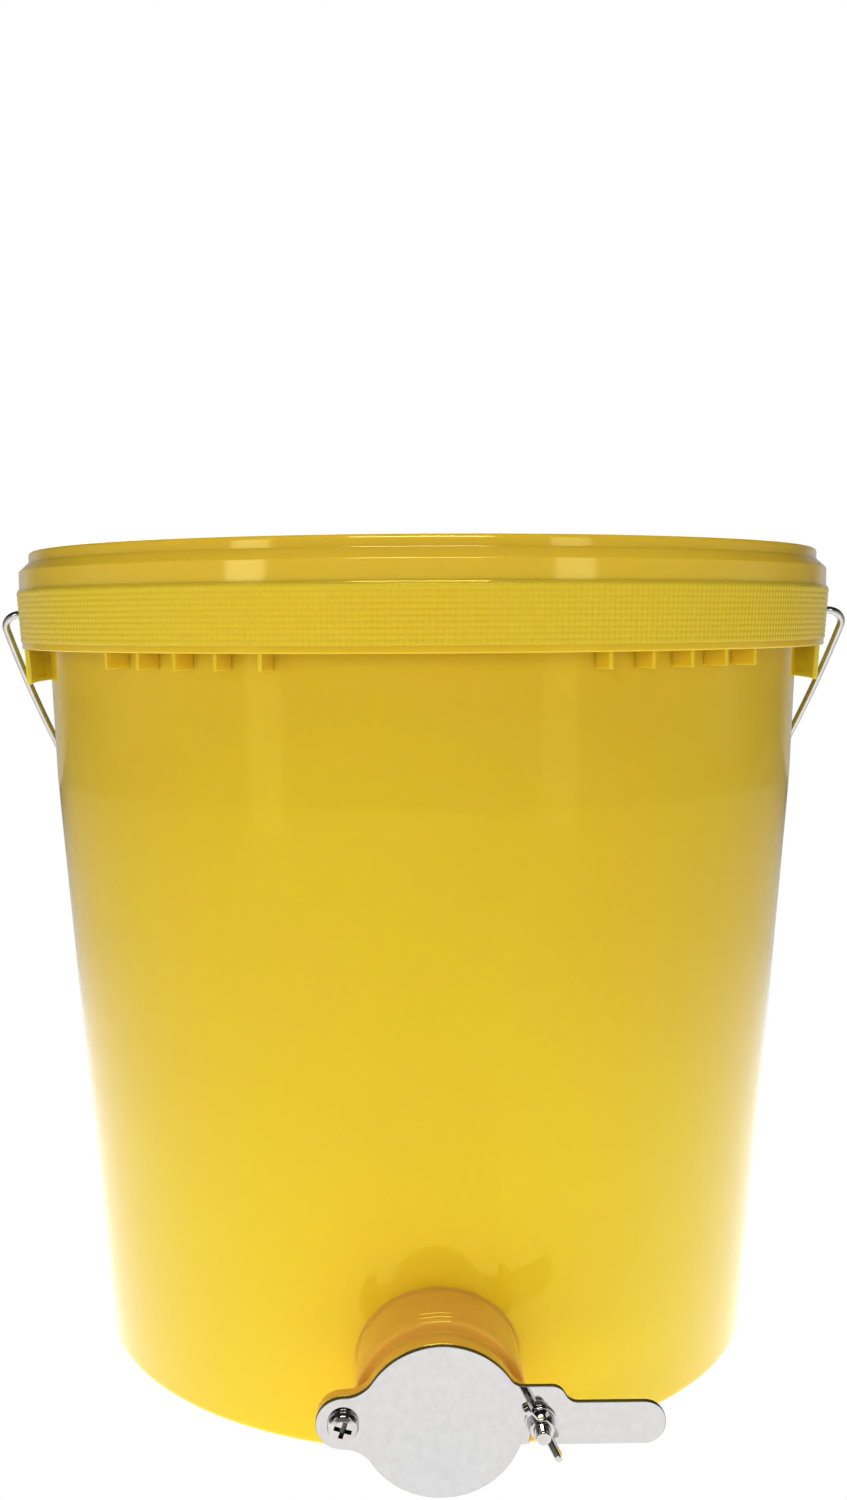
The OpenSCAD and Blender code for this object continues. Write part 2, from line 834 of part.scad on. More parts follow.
module wing_nut() {
    color("gainsboro")
    at_gate()
    translate([ear_off, 0, hub_back])
        rotate([0, 0, wing_turn])
            difference() {
                union() {
                    cylinder(h = hub_h, d1 = hub_d, d2 = hub_top_d);
                    wing();
                    rotate([0, 0, 180])
                        wing();
                }
                drum(bolt_r + thread_clear, -overrun, hub_h + wing_rise);
            }
}

bucket();
lid();
bail_wire();
bail_grip();
gate_body();
outer_seal();
inner_seal();
lock_nut();
gate_blade();
pivot_screw();
pivot_nut();
locking_bolt();
clamp_washer();
wing_nut();
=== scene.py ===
import math
import bmesh
import bpy
from mathutils import Matrix, Vector


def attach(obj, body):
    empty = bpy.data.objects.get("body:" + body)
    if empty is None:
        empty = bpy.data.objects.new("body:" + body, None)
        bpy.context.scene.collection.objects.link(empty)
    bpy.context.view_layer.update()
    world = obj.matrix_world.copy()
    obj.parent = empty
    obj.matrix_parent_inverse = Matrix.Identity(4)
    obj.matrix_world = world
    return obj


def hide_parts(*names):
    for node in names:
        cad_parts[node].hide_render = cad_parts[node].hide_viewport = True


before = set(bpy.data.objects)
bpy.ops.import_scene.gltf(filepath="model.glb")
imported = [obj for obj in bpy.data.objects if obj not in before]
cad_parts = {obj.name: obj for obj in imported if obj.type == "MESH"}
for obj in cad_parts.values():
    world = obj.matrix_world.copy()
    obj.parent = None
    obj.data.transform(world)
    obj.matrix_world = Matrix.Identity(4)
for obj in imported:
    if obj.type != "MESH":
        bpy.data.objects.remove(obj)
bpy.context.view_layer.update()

# Bucket
# A tapered pail, injection-moulded in yellow polypropylene in one shot with its
# rim, collar, collar ribs and the two ears that carry the bail. Sizes are in mm.

MM = 0.001
BASE_R = 155
BASE_T = 3
WALL = 2.4
DRAFT = math.radians(4.2)
DRAFT_TOP = math.radians(2.0)
SHOULDER_Z = 262.2
SHOULDER_ROUND = 60
RIM_Z = 363.2
BEAD_H = 3
COLLAR_TOP = 348.0
COLLAR_LOW = 322.0
COLLAR_OUT = 13.6
COLLAR_TAPER = 1.7
COLLAR_T = 2.2
STRIP_H = 2.8
STRIP_STEP = 0.6
WEB_Z = 345.6
LIP_H = 0.4
LIP_DROP = 0.35
LIP_LOW_OUT, LIP_TOP_OUT = 0.88, 0.64
LID_T = 2.2
LID_OVER_RIM = 7
LID_RIDGE = 0.8
LID_PLAY = 0.4
SKIRT_IN = 1.6
SKIRT_PLAY = 0.08
PIVOT_Z = 337.8
PIN_HOLE_R = 2.1
PIN_HOLE_FROM, PIN_HOLE_TO = 180, 193
OUTLET_Z = 38.6
OUTLET_HOLE_R = 24.2
BARREL_R = 33
SHELL_SIDES = 320


def wall_r(z):
    low = BASE_R + min(z, SHOULDER_Z) * math.tan(DRAFT)
    return low + max(z - SHOULDER_Z, 0) * math.tan(DRAFT_TOP)


def corner_arc(before, corner, after, steps):
    p = Vector(corner[:2])
    if not corner[2]:
        return [p]
    u = (Vector(before[:2]) - p).normalized()
    v = (Vector(after[:2]) - p).normalized()
    half = math.acos(max(-1, min(1, u.dot(v)))) / 2
    middle = p + (u + v).normalized() * corner[2] / math.sin(half)
    start = p + u * corner[2] / math.tan(half) - middle
    angle = math.atan2(start.y, start.x)
    turn = (math.pi - 2 * half) * math.copysign(1, u.x * v.y - u.y * v.x)
    angles = [angle - turn * i / steps for i in range(steps + 1)]
    return [middle + corner[2] * Vector((math.cos(a), math.sin(a))) for a in angles]


# Each corner of an outline is its radius, its height and its rounding.
def rounded(corners, steps=6):
    return [p for i, c in enumerate(corners)
            for p in corner_arc(corners[i - 1], c, corners[(i + 1) % len(corners)], steps)]


def revolve(outline, turns):
    verts, faces = [], []
    rings = []
    for r, z in outline:
        if r < 1e-6:
            rings.append([len(verts)] * turns)
            verts.append((0, 0, z))
        else:
            rings.append(range(len(verts), len(verts) + turns))
            verts += [(r * math.cos(2 * math.pi * k / turns), r * math.sin(2 * math.pi * k / turns), z)
                      for k in range(turns)]
    for a, b in zip(rings, rings[1:] + rings[:1]):
        for k in range(turns):
            n = (k + 1) % turns
            face = list(dict.fromkeys((a[k], a[n], b[n], b[k])))
            if len(face) > 2:
                faces.append(face)
    return verts, faces


def drum(r, low, high, sides=96):
    return revolve([(0, low), (r, low), (r, high), (0, high)], sides)


def piece(name, part, matrix=Matrix(), sharp=32):
    mesh = bpy.data.meshes.new(name)
    mesh.from_pydata([tuple(MM * (matrix @ Vector(v))) for v in part[0]], [], part[1])
    shape = bmesh.new()
    shape.from_mesh(mesh)
    bmesh.ops.recalc_face_normals(shape, faces=shape.faces)
    shape.to_mesh(mesh)
    shape.free()
    mesh.polygons.foreach_set("use_smooth", [True] * len(mesh.polygons))
    mesh.set_sharp_from_angle(angle=math.radians(sharp))
    obj = bpy.data.objects.new(name, mesh)
    bpy.context.scene.collection.objects.link(obj)
    return obj


def cut(obj, *tools, sharp=32):
    for tool in tools:
        step = obj.modifiers.new("cut", "BOOLEAN")
        step.solver = "EXACT"
        step.object = tool
    bpy.context.view_layer.update()
    mesh = bpy.data.meshes.new_from_object(obj.evaluated_get(bpy.context.evaluated_depsgraph_get()))
    obj.modifiers.clear()
    obj.data = mesh
    mesh.name = obj.name
    mesh.polygons.foreach_set("use_smooth", [True] * len(mesh.polygons))
    mesh.set_sharp_from_angle(angle=math.radians(sharp))
    for tool in tools:
        bpy.data.objects.remove(tool)


def bevelled(obj, width):
    edge = obj.modifiers.new("edge", "BEVEL")
    edge.width = MM * width
    edge.segments = 2
    return edge


def pin_hole(turn):
    level = Matrix.Translation((0, 0, PIVOT_Z)) @ Matrix.Rotation(math.pi / 2, 4, "Y")
    return piece("pin_hole", drum(PIN_HOLE_R, PIN_HOLE_FROM, PIN_HOLE_TO, 32), turn @ level)


OUTWARD = math.radians(90) + DRAFT
GATE = Matrix.Translation((0, -wall_r(OUTLET_Z), OUTLET_Z)) @ Matrix.Rotation(OUTWARD, 4, "X")
SIDES = [Matrix.Rotation(turn, 4, "Z") for turn in (0, math.pi)]
collar_r = wall_r(COLLAR_TOP) + COLLAR_OUT
strip_r = collar_r - COLLAR_TAPER - STRIP_STEP
skirt_r = collar_r - SKIRT_IN
rim_r = wall_r(RIM_Z)
tier_r = rim_r + LID_OVER_RIM
bead_r = tier_r - LID_T - LID_RIDGE - LID_PLAY
shell = piece("bucket_shell", revolve(rounded([
    (0, 0, 0),
    (BASE_R, 0, 2),
    (wall_r(SHOULDER_Z), SHOULDER_Z, SHOULDER_ROUND),
    (wall_r(WEB_Z), WEB_Z, 1.2),
    (strip_r + COLLAR_T / 2, WEB_Z, 1.2),
    (strip_r - COLLAR_T, COLLAR_LOW, 0.5),
    (strip_r, COLLAR_LOW, 0.7),
    (strip_r, COLLAR_LOW + STRIP_H, 0.2),
    (strip_r + 0.1, COLLAR_LOW + STRIP_H + 0.1, 0),
    (skirt_r + LIP_LOW_OUT, COLLAR_TOP - LIP_DROP, 0.15),
    (skirt_r + LIP_TOP_OUT, COLLAR_TOP + LIP_H, 0.15),
    (skirt_r + SKIRT_PLAY, COLLAR_TOP + LIP_H, 0.05),
    (skirt_r + SKIRT_PLAY, COLLAR_TOP, 0),
    (wall_r(COLLAR_TOP), COLLAR_TOP, 1.2),
    (rim_r, RIM_Z - BEAD_H - (bead_r - rim_r), 0.5),
    (bead_r, RIM_Z - BEAD_H, 0.5),
    (bead_r, RIM_Z, 1),
    (rim_r - WALL, RIM_Z, 0.8),
    (wall_r(SHOULDER_Z) - WALL, SHOULDER_Z, SHOULDER_ROUND),
    (wall_r(BASE_T) - WALL, BASE_T, 4),
    (0, BASE_T, 0),
]), SHELL_SIDES))
hole = piece("hole", drum(OUTLET_HOLE_R, -BARREL_R, BARREL_R), GATE)
cut(shell, hole, *[pin_hole(turn) for turn in SIDES])
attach(shell, "bucket")
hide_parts("bucket")

# Thin upright ribs hold the collar off the wall: four groups of five, and a short pair
# at each pin hole.
RIBS = 5
RIB_T = 1.6
RIB_DROP = 6.5
RIB_FIRST = 20.4
RIB_STEP = 5.8
RIB_EDGE = 0.3
PIN_RIB_ANGLES = (-4, 4, 176, 184)
web_mid = (WEB_Z + COLLAR_TOP) / 2
collar_mid_r = strip_r + STRIP_STEP + COLLAR_TAPER - COLLAR_T / 2


def upright(outline, half):
    n = len(outline)
    verts = [(r, y, z) for y in (-half, half) for r, z in outline]
    faces = [(i, (i + 1) % n, n + (i + 1) % n, n + i) for i in range(n)]
    return verts, faces + [tuple(range(n)), tuple(range(n, 2 * n))]


def moved(part, matrix):
    return [matrix @ Vector(v) for v in part[0]], part[1]


def joined(*parts):
    verts, faces = [], []
    for part in parts:
        faces += [[i + len(verts) for i in face] for face in part[1]]
        verts += [tuple(v) for v in part[0]]
    return verts, faces


def rib_at(low, angle):
    root = (wall_r(low) + wall_r(WEB_Z) - WALL) / 2
    outer = strip_r - COLLAR_T / 2
    outline = [(root, low), (outer, low), (outer, COLLAR_LOW + STRIP_H),
               (collar_mid_r, web_mid), (root, web_mid)]
    return moved(upright(outline, RIB_T / 2), Matrix.Rotation(math.radians(angle), 4, "Z"))


group_angles = [half + side * (RIB_FIRST + RIB_STEP * i)
                for half in (-90, 90) for side in (-1, 1) for i in range(RIBS)]
ribs = piece("collar_ribs", joined(
    *[rib_at(COLLAR_LOW - RIB_DROP, angle) for angle in group_angles],
    *[rib_at(COLLAR_LOW + STRIP_H / 2, angle) for angle in PIN_RIB_ANGLES]))
bevelled(ribs, RIB_EDGE)
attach(ribs, "bucket")

# Each ear is a curved apron under the collar, with a shallow pocket inside.
EAR_DROP = 16.5
EAR_SPAN = 21.5
EAR_T = 2.2
EAR_IN = 0.7
EAR_TAPER = 0.9
POCKET_W = 20
POCKET_H = 5.5
POCKET_UP = 2.6
POCKET_FROM = 177
POCKET_SKIN = 2.8


def sector(outline, span, steps):
    n = len(outline)
    turns = [math.radians(span) * (k / steps - 0.5) for k in range(steps + 1)]
    verts = [(r * math.cos(a), r * math.sin(a), z) for a in turns for r, z in outline]
    faces = [(k * n + i, k * n + (i + 1) % n, (k + 1) * n + (i + 1) % n, (k + 1) * n + i)
             for k in range(steps) for i in range(n)]
    return verts, faces + [tuple(range(n)), tuple(range(steps * n, steps * n + n))]


def block(low, high):
    verts = [(x, y, z) for z in (low[2], high[2]) for y in (low[1], high[1]) for x in (low[0], high[0])]
    return verts, [(0, 2, 3, 1), (4, 5, 7, 6), (0, 1, 5, 4), (2, 6, 7, 3), (0, 4, 6, 2), (1, 3, 7, 5)]


low = COLLAR_LOW - EAR_DROP
low_r = strip_r - EAR_IN - EAR_TAPER
top_r = strip_r - EAR_IN + EAR_TAPER * (web_mid - COLLAR_LOW) / EAR_DROP
apron = rounded([(low_r - EAR_T, low, 0.5), (low_r, low, 0.5),
                 (top_r, web_mid, 0), (top_r - EAR_T, web_mid, 0)], 3)
recess = block((POCKET_FROM, -POCKET_W / 2, low + POCKET_UP),
               (strip_r - POCKET_SKIN, POCKET_W / 2, low + POCKET_UP + POCKET_H))
ears = []
for name, turn in zip(("ear_right", "ear_left"), SIDES):
    ear = piece(name, sector(apron, EAR_SPAN, 24), turn)
    cut(ear, piece("pocket", recess, turn), pin_hole(turn))
    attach(ear, "bucket")
    ears.append(ear)

# The collar's face is moulded as a grid of small pads, ten rows high.
PAD_ROWS = 10
PAD_COLUMNS = 508
PAD_ROW_SHARES = (0, 0.17, 0.5, 0.83)
PAD_ROW_LIFTS = (0, 0.31, 0.35, 0.31)
PAD_COLUMN_SHARES = (0, -0.49, 0.49)
PAD_COLUMN_LIFT_SHARES = (0.05, 1, 1)
GRID_UP, GRID_DOWN = 3.0, 0.6
GRID_OVER = 0.12
GRID_TAPER = 1.45
low, high = COLLAR_LOW + GRID_UP, COLLAR_TOP - GRID_DOWN
levels = []
for i in range(PAD_ROWS * 4 + 1):
    t = (i // 4 + PAD_ROW_SHARES[i % 4]) / PAD_ROWS
    lift = PAD_ROW_LIFTS[i % 4] if 0 < i < PAD_ROWS * 4 else 0
    levels.append((low + (high - low) * t, strip_r + GRID_OVER + GRID_TAPER * t, lift))
count = PAD_COLUMNS * 3
verts, faces = [], []
for z, base, lift in levels:
    for k in range(count):
        r = base + lift * PAD_COLUMN_LIFT_SHARES[k % 3]
        a = 2 * math.pi * (k + PAD_COLUMN_SHARES[k % 3]) / count
        verts.append((r * math.cos(a), r * math.sin(a), z))
for i in range(len(levels) - 1):
    for k in range(count):
        n = (k + 1) % count
        faces.append((i * count + k, i * count + n, (i + 1) * count + n, (i + 1) * count + k))
grid = piece("collar_grid", (verts, faces), sharp=80)
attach(grid, "bucket")


# Nodes are made with their values, then joined by the names of their sockets. A mix
# node's colour sockets share their names with others, so they are numbered.
MIX_FROM, MIX_TO, MIXED = 6, 7, 2


def node(tree, kind, settings=()):
    made = tree.nodes.new("ShaderNode" + kind)
    for socket, value in dict(settings).items():
        made.inputs[socket].default_value = value
    return made


def connect(tree, *links):
    for source, out, target, into in links:
        tree.links.new(source.outputs[out], target.inputs[into])


def effect(name, takes, gives):
    tree = bpy.data.node_groups.new(name, "ShaderNodeTree")
    for way, sockets in (("INPUT", takes), ("OUTPUT", gives)):
        for label, kind in sockets:
            tree.interface.new_socket(label, in_out=way, socket_type="NodeSocket" + kind)
    return tree, tree.nodes.new("NodeGroupInput"), tree.nodes.new("NodeGroupOutput")


def colour_mix(tree):
    made = node(tree, "Mix")
    made.data_type = "RGBA"
    return made


def placed(tree, marks, settings):
    made = node(tree, "Group")
    made.node_tree = marks
    for socket, value in settings.items():
        made.inputs[socket].default_value = value
    return made


def material(name):
    mat = bpy.data.materials.new(name)
    mat.use_nodes = True
    return mat, mat.node_tree, mat.node_tree.nodes["Principled BSDF"]


def wear(obj, *skins):
    obj.data.materials.clear()
    for skin in skins:
        obj.data.materials.append(skin)


# Flow marks, a paler lower half that is painted light from below, faint scuffs and grain, shared by the
# moulded pieces.
moulded, given, result = effect(
    "moulded",
    (("Deep", "Color"), ("Pale", "Color")),
    (("Colour", "Color"), ("Gloss", "Float"), ("Grain", "Float")))
place = node(moulded, "TexCoord")
height = node(moulded, "SeparateXYZ")
# The lower the point, the paler the colour: painted light, standing for the light that comes up from below.
painted_low_light = node(moulded, "MapRange", {"From Min": 0.36, "From Max": 0.0, "To Min": -0.35, "To Max": 0.35})
flow = node(moulded, "TexNoise", {"Scale": 8, "Detail": 3})
tone = node(moulded, "Math")
tone.operation = "ADD"
share = node(moulded, "MapRange", {"From Min": 0.05, "From Max": 0.95})
blend = colour_mix(moulded)
scuff = node(moulded, "TexNoise", {"Scale": 45, "Detail": 6})
gloss = node(moulded, "MapRange", {"From Min": 0.3, "From Max": 0.7, "To Min": 0.05, "To Max": 0.09})
grain = node(moulded, "TexNoise", {"Scale": 55, "Detail": 4})
connect(moulded,
        *[(place, "Object", target, "Vector") for target in (flow, scuff, grain, height)],
        (height, "Z", painted_low_light, "Value"),
        (painted_low_light, "Result", tone, 0),
        (flow, "Fac", tone, 1),
        (tone, "Value", share, "Value"),
        (share, "Result", blend, "Factor"),
        (given, "Deep", blend, MIX_FROM),
        (given, "Pale", blend, MIX_TO),
        (blend, MIXED, result, "Colour"),
        (scuff, "Fac", gloss, "Value"),
        (gloss, "Result", result, "Gloss"),
        (grain, "Fac", result, "Grain"))


def plastic(name, deep, pale, coat=0.0, soft=0.6, shine=0.5):
    mat, tree, skin = material(name)
    marks = placed(tree, moulded, {"Deep": (*deep, 1), "Pale": (*pale, 1)})
    bump = node(tree, "Bump", {"Strength": 0.05, "Distance": 0.0004})
    skin.inputs["Coat Weight"].default_value = coat
    skin.inputs["Coat Roughness"].default_value = 0.1
    skin.inputs["Specular IOR Level"].default_value = shine
    skin.inputs["Specular Tint"].default_value = (1, 0.87, 0.14, 1)
    skin.inputs["Subsurface Weight"].default_value = soft
    skin.inputs["Subsurface Radius"].default_value = (0.005, 0.0045, 0.001)
    skin.inputs["Subsurface Scale"].default_value = 1
    connect(tree,
            (marks, "Colour", skin, "Base Color"),
            (marks, "Gloss", skin, "Roughness"),
            (marks, "Grain", bump, "Height"),
            (bump, "Normal", skin, "Normal"))
    return mat


bucket_yellow = plastic("bucket_yellow", (0.73, 0.475, 0.031), (0.76, 0.56, 0.020), shine=0.55)
# A lighter copy of the bucket's yellow for the collar's grid, painted lighter to offset the shade in its
# grooves.
collar_yellow_painted_lighter = plastic("collar_yellow_painted_lighter", (0.77, 0.545, 0.036), (0.81, 0.59, 0.036), soft=0.4, shine=0.3)
# A paler, less orange copy for the ears, painted so to offset the dim, orange light between apron and wall.
ear_yellow_painted_paler = plastic("ear_yellow_painted_paler", (0.72, 0.61, 0.09), (0.76, 0.65, 0.09), soft=1, shine=0)
for skin, covered in ((bucket_yellow, (shell, ribs)), (collar_yellow_painted_lighter, (grid,)), (ear_yellow_painted_paler, ears)):
    for obj in covered:
        wear(obj, skin)

# Lid
# A pressed-on lid moulded in the same yellow, with a two-step edge that caps the
# rim, a plug wall inside it and a sunken panel with a stiffening ring.

TIER_H = 4.6
LEDGE_H = 4.2
PANEL_DROP = 14
RING_IN, RING_OUT = 110, 126
RING_H = 3
lid_top = RIM_Z + LID_T
ledge_top = lid_top - TIER_H
ledge_low = ledge_top - LEDGE_H
panel = lid_top - PANEL_DROP
under = panel - LID_T
plug_r = rim_r - WALL - LID_PLAY
plug_low = wall_r(under) - WALL - LID_PLAY
tier_in = tier_r - LID_T
catch_z = RIM_Z - BEAD_H - LID_PLAY
skirt_low = COLLAR_TOP + SKIRT_PLAY
lid = piece("lid_shell", revolve(rounded([
    (0, under, 0),
    (RING_IN, under, 0.6),
    (RING_IN + RING_H, under + RING_H, 0.6),
    (RING_OUT - RING_H, under + RING_H, 0.6),
    (RING_OUT, under, 0.6),
    (plug_low, under, 1.6),
    (plug_r, RIM_Z, 0.4),
    (tier_in, RIM_Z, 0.8),
    (tier_in, catch_z, 0),
    (tier_in - LID_RIDGE, catch_z - LID_RIDGE, 0.2),
    (tier_in, ledge_top - LEDGE_H / 2 - LID_RIDGE, 0),
    (skirt_r - LID_T, ledge_low - LID_T / 2, 0.6),
    (skirt_r - LID_T, skirt_low, 0.2),
    (skirt_r, skirt_low, 0.12),
    (skirt_r, ledge_low, 0.7),
    (tier_r, ledge_top, 0.9),
    (tier_r, lid_top, 1.7),
    (plug_r - LID_T, lid_top, 1.6),
    (plug_low - LID_T, panel, 1.6),
    (RING_OUT, panel, 0.8),
    (RING_OUT - RING_H, panel + RING_H, 0.8),
    (RING_IN + RING_H, panel + RING_H, 0.8),
    (RING_IN, panel, 0.8),
    (0, panel, 0),
]), SHELL_SIDES))
# The lid wears a lighter copy of the yellow: painted light for its upper tier, which the lamps leave too dim.
wear(lid, plastic("lid_yellow_painted_lighter", (0.79, 0.51, 0.036), (0.82, 0.57, 0.036), coat=0.4))
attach(lid, "lid")
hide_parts("lid")

# Bail wire
# Bright drawn steel wire bent to a wide bow. Its two ends are turned in and
# spring into the ears; it hangs down the back of the bucket.

WIRE_R = 1.8
BAIL_OUT = 13.5
BAIL_SHIFT = 2.1
BEND_R = 8
ARM_R = 760
ARM_LEAN = math.radians(8)
ARM_TURN = math.radians(27)
CORNER_X = 50
HANG_OUT = 11
PIN_IN = 6
PIN_TAPER = 0.7


def spoke(angle):
    return Vector((math.cos(angle), math.sin(angle)))


def arc(x, y, r, start, end, steps):
    angles = [start + (end - start) * i / steps for i in range(steps + 1)]
    return [Vector((x + r * math.cos(a), y + r * math.sin(a))) for a in angles]


def tube(path, r, sides):
    verts, faces = [], []
    for i, p in enumerate(path):
        along = (path[min(i + 1, len(path) - 1)] - path[max(i - 1, 0)]).normalized()
        side = Vector((along.y, -along.x))
        size = r * (0.7 if i in (0, len(path) - 1) else 1)
        for k in range(sides):
            a = 2 * math.pi * k / sides
            out = size * math.cos(a)
            verts.append((p.x + side.x * out, p.y + side.y * out, size * math.sin(a)))
    for i in range(len(path) - 1):
        for k in range(sides):
            n = (k + 1) % sides
            faces.append((i * sides + k, i * sides + n, (i + 1) * sides + n, (i + 1) * sides + k))
    faces.append(tuple(range(sides)))
    faces.append(tuple(range(len(verts) - sides, len(verts))))
    return verts, faces


bend_x = collar_r + BAIL_OUT - BEND_R
arm_start = Vector((bend_x + BEND_R * math.cos(ARM_LEAN), BEND_R + BEND_R * math.sin(ARM_LEAN)))
arm_mid = arm_start - ARM_R * spoke(ARM_LEAN)
arm_end = arm_mid + ARM_R * spoke(ARM_TURN)
corner_r = (arm_end.x - CORNER_X) / math.cos(ARM_TURN)
corner_mid = arm_end - corner_r * spoke(ARM_TURN)
reach = corner_mid.y + corner_r
hang = DRAFT + math.acos((BASE_R * math.cos(DRAFT) + PIVOT_Z * math.sin(DRAFT) + HANG_OUT) / reach)
BAIL = Matrix.Translation((BAIL_SHIFT, 0, PIVOT_Z)) @ Matrix.Rotation(-hang, 4, "X")
end_x = collar_r - PIN_TAPER - COLLAR_T - PIN_IN
half = [Vector((end_x, 0)), Vector((end_x + 0.5, 0)), Vector((bend_x - BEND_R / 2, 0))]
half += arc(bend_x, BEND_R, BEND_R, -math.pi / 2, ARM_LEAN, 20)
half += arc(arm_mid.x, arm_mid.y, ARM_R, ARM_LEAN, ARM_TURN, 30)[1:]
half += arc(corner_mid.x, corner_mid.y, corner_r, ARM_TURN, math.pi / 2, 30)[1:]
path = half + [Vector((0, reach))] + [Vector((-p.x, p.y)) for p in reversed(half)]
wire = piece("bail_bow", tube(path, WIRE_R, 24), BAIL)

# Fine cloudy marks in two tones, with the polish that goes with them, shared by
# the metals, the rubber and the floor's paper.
specks, given, result = effect(
    "specks",
    (("Scale", "Float"), ("Detail", "Float"), ("Start", "Float"), ("End", "Float"),
     ("Dark", "Color"), ("Light", "Color"), ("Smooth", "Float"), ("Rough", "Float")),
    (("Colour", "Color"), ("Roughness", "Float"), ("Height", "Float")))
place = node(specks, "TexCoord")
cloud = node(specks, "TexNoise")
share = node(specks, "MapRange")
blend = colour_mix(specks)
polish = node(specks, "MapRange")
connect(specks,
        (place, "Object", cloud, "Vector"),
        (given, "Scale", cloud, "Scale"),
        (given, "Detail", cloud, "Detail"),
        (cloud, "Fac", share, "Value"),
        (given, "Start", share, "From Min"),
        (given, "End", share, "From Max"),
        (share, "Result", blend, "Factor"),
        (given, "Dark", blend, MIX_FROM),
        (given, "Light", blend, MIX_TO),
        (blend, MIXED, result, "Colour"),
        (cloud, "Fac", polish, "Value"),
        (given, "Smooth", polish, "To Min"),
        (given, "Rough", polish, "To Max"),
        (polish, "Result", result, "Roughness"),
        (cloud, "Fac", result, "Height"))


def speckled(tree, scale, detail, dark, light, start=0.0, end=1.0, smooth=0.0, rough=1.0):
    return placed(tree, specks, {"Scale": scale, "Detail": detail, "Start": start, "End": end,
                                 "Dark": (*dark, 1), "Light": (*light, 1), "Smooth": smooth, "Rough": rough})


def bright_metal(name, scale, detail, dark, light, smooth, rough):
    mat, tree, skin = material(name)
    skin.inputs["Metallic"].default_value = 1
    marks = speckled(tree, scale, detail, dark, light, smooth=smooth, rough=rough)
    connect(tree, (marks, "Colour", skin, "Base Color"), (marks, "Roughness", skin, "Roughness"))
    return mat


wear(wire, bright_metal("drawn_wire", 160, 4, (0.40, 0.39, 0.38), (0.56, 0.55, 0.54), 0.10, 0.24))
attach(wire, "bail")
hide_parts("bail_wire")

# Bail grip
# A hollow barrel moulded in yellow and threaded on the wire before it is bent,
# free to turn; nine grooves give the fingers a hold.

GRIP_L = 94
GRIP_END_R = 9
GRIP_SWELL = 1.5
GRIP_EDGE = 1
GRIP_PLAY = 0.3
GRIP_STEPS = 121
GROOVES = 9
GROOVE_HALF = 1.3
GROOVE_DEEP = 1.0
grip_end = GRIP_L / 2
grip_body = grip_end - GRIP_EDGE
groove_step = GRIP_L / (GROOVES + 1)
half = [(WIRE_R + GRIP_PLAY, grip_end), (GRIP_END_R - GRIP_EDGE, grip_end), (GRIP_END_R, grip_body)]
outline = [(r, -z) for r, z in half]
for i in range(1, GRIP_STEPS):
    z = grip_body * (2 * i / GRIP_STEPS - 1)
    swell = GRIP_END_R + GRIP_SWELL * min(1, 2 * (grip_body - abs(z)) / grip_body) ** 0.8
    groove = min(abs(z + grip_end - groove_step * k) for k in range(1, GROOVES + 1))
    dip = GROOVE_DEEP * math.cos(groove / GROOVE_HALF * math.pi / 2) if groove < GROOVE_HALF else 0
    outline.append((swell - dip, z))
outline += reversed(half)
along = BAIL @ Matrix.Translation((0, reach, 0)) @ Matrix.Rotation(math.pi / 2, 4, "Y")
grip = piece("grip_barrel", revolve(outline, 64), along, sharp=50)
wear(grip, plastic("grip_yellow", (0.73, 0.475, 0.031), (0.76, 0.56, 0.020)))
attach(grip, "grip")
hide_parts("bail_grip")

# Seals
# Two saddles of gum rubber, one pressed between the gate's barrel and the curved
# wall, one between the wall and the ring nut; they keep the CAD shapes.

rubber, tree, skin = material("seal_rubber")
skin.inputs["Roughness"].default_value = 0.7
dust = speckled(tree, 220, 5, (0.68, 0.35, 0.03), (0.76, 0.41, 0.04))
bump = node(tree, "Bump", {"Strength": 0.2, "Distance": 0.0002})
connect(tree,
        (dust, "Colour", skin, "Base Color"),
        (dust, "Height", bump, "Height"),
        (bump, "Normal", skin, "Normal"))
for name in ("outer_seal", "inner_seal"):
    wear(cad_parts[name], rubber)

# Gate body
# The outlet, moulded in a deeper amber plastic: a threaded pipe, a thick barrel
# against the wall, a waist and a face with two ears for the blade's fasteners.

BORE_R = 20
PIPE_R = 23.2
PIPE_L = 24
PIPE_THREAD_ROOT, PIPE_THREAD_CREST = 23.15, 23.9
PIPE_THREAD_FROM, PIPE_THREAD_TO = -22.6, -0.5
PIPE_PITCH = 2.3
BARREL_BACK, BARREL_FRONT = 1.5, 25
BARREL_GROOVES = (18.8, 21.6)
WAIST_R = 29
WAIST_GROOVE = 28
FACE_BACK, FACE_FRONT = 31.0, 36.3
FACE_R = 30.4
FACE_CORE_R = 29.9
FACE_CORE_BACK, FACE_CORE_FRONT = 31.6, 35.9
FACE_EDGE = 0.5
GATE_EAR_X = 36.9
GATE_EAR_R = 10
GATE_HOLLOW_R = 12
BOLT_R = 3
BOLT_PLAY = 0.3
NUT_POCKET_R = 5.84
NUT_POCKET_DEEP = 2.5
CUT_BACK, CUT_FRONT = 20, 50


def hollow(r, ear_r, off, hollow_r):
    x = (off ** 2 + (r + hollow_r) ** 2 - (ear_r + hollow_r) ** 2) / (2 * off)
    return Vector((x, math.sqrt((r + hollow_r) ** 2 - x * x)))


def plate(outline, low, high, edge):
    n = len(outline)
    inset = []
    for i, p in enumerate(outline):
        d = (outline[(i + 1) % n] - outline[i - 1]).normalized()
        inset.append(p + edge * Vector((-d.y, d.x)))
    verts = []
    for ring, z in ((inset, low), (outline, low + edge), (outline, high - edge), (inset, high)):
        verts += [(p.x, p.y, z) for p in ring]
    faces = [(k * n + i, k * n + (i + 1) % n, (k + 1) * n + (i + 1) % n, (k + 1) * n + i)
             for k in range(3) for i in range(n)]
    return verts, faces + [tuple(range(n)), tuple(range(3 * n, 4 * n))]


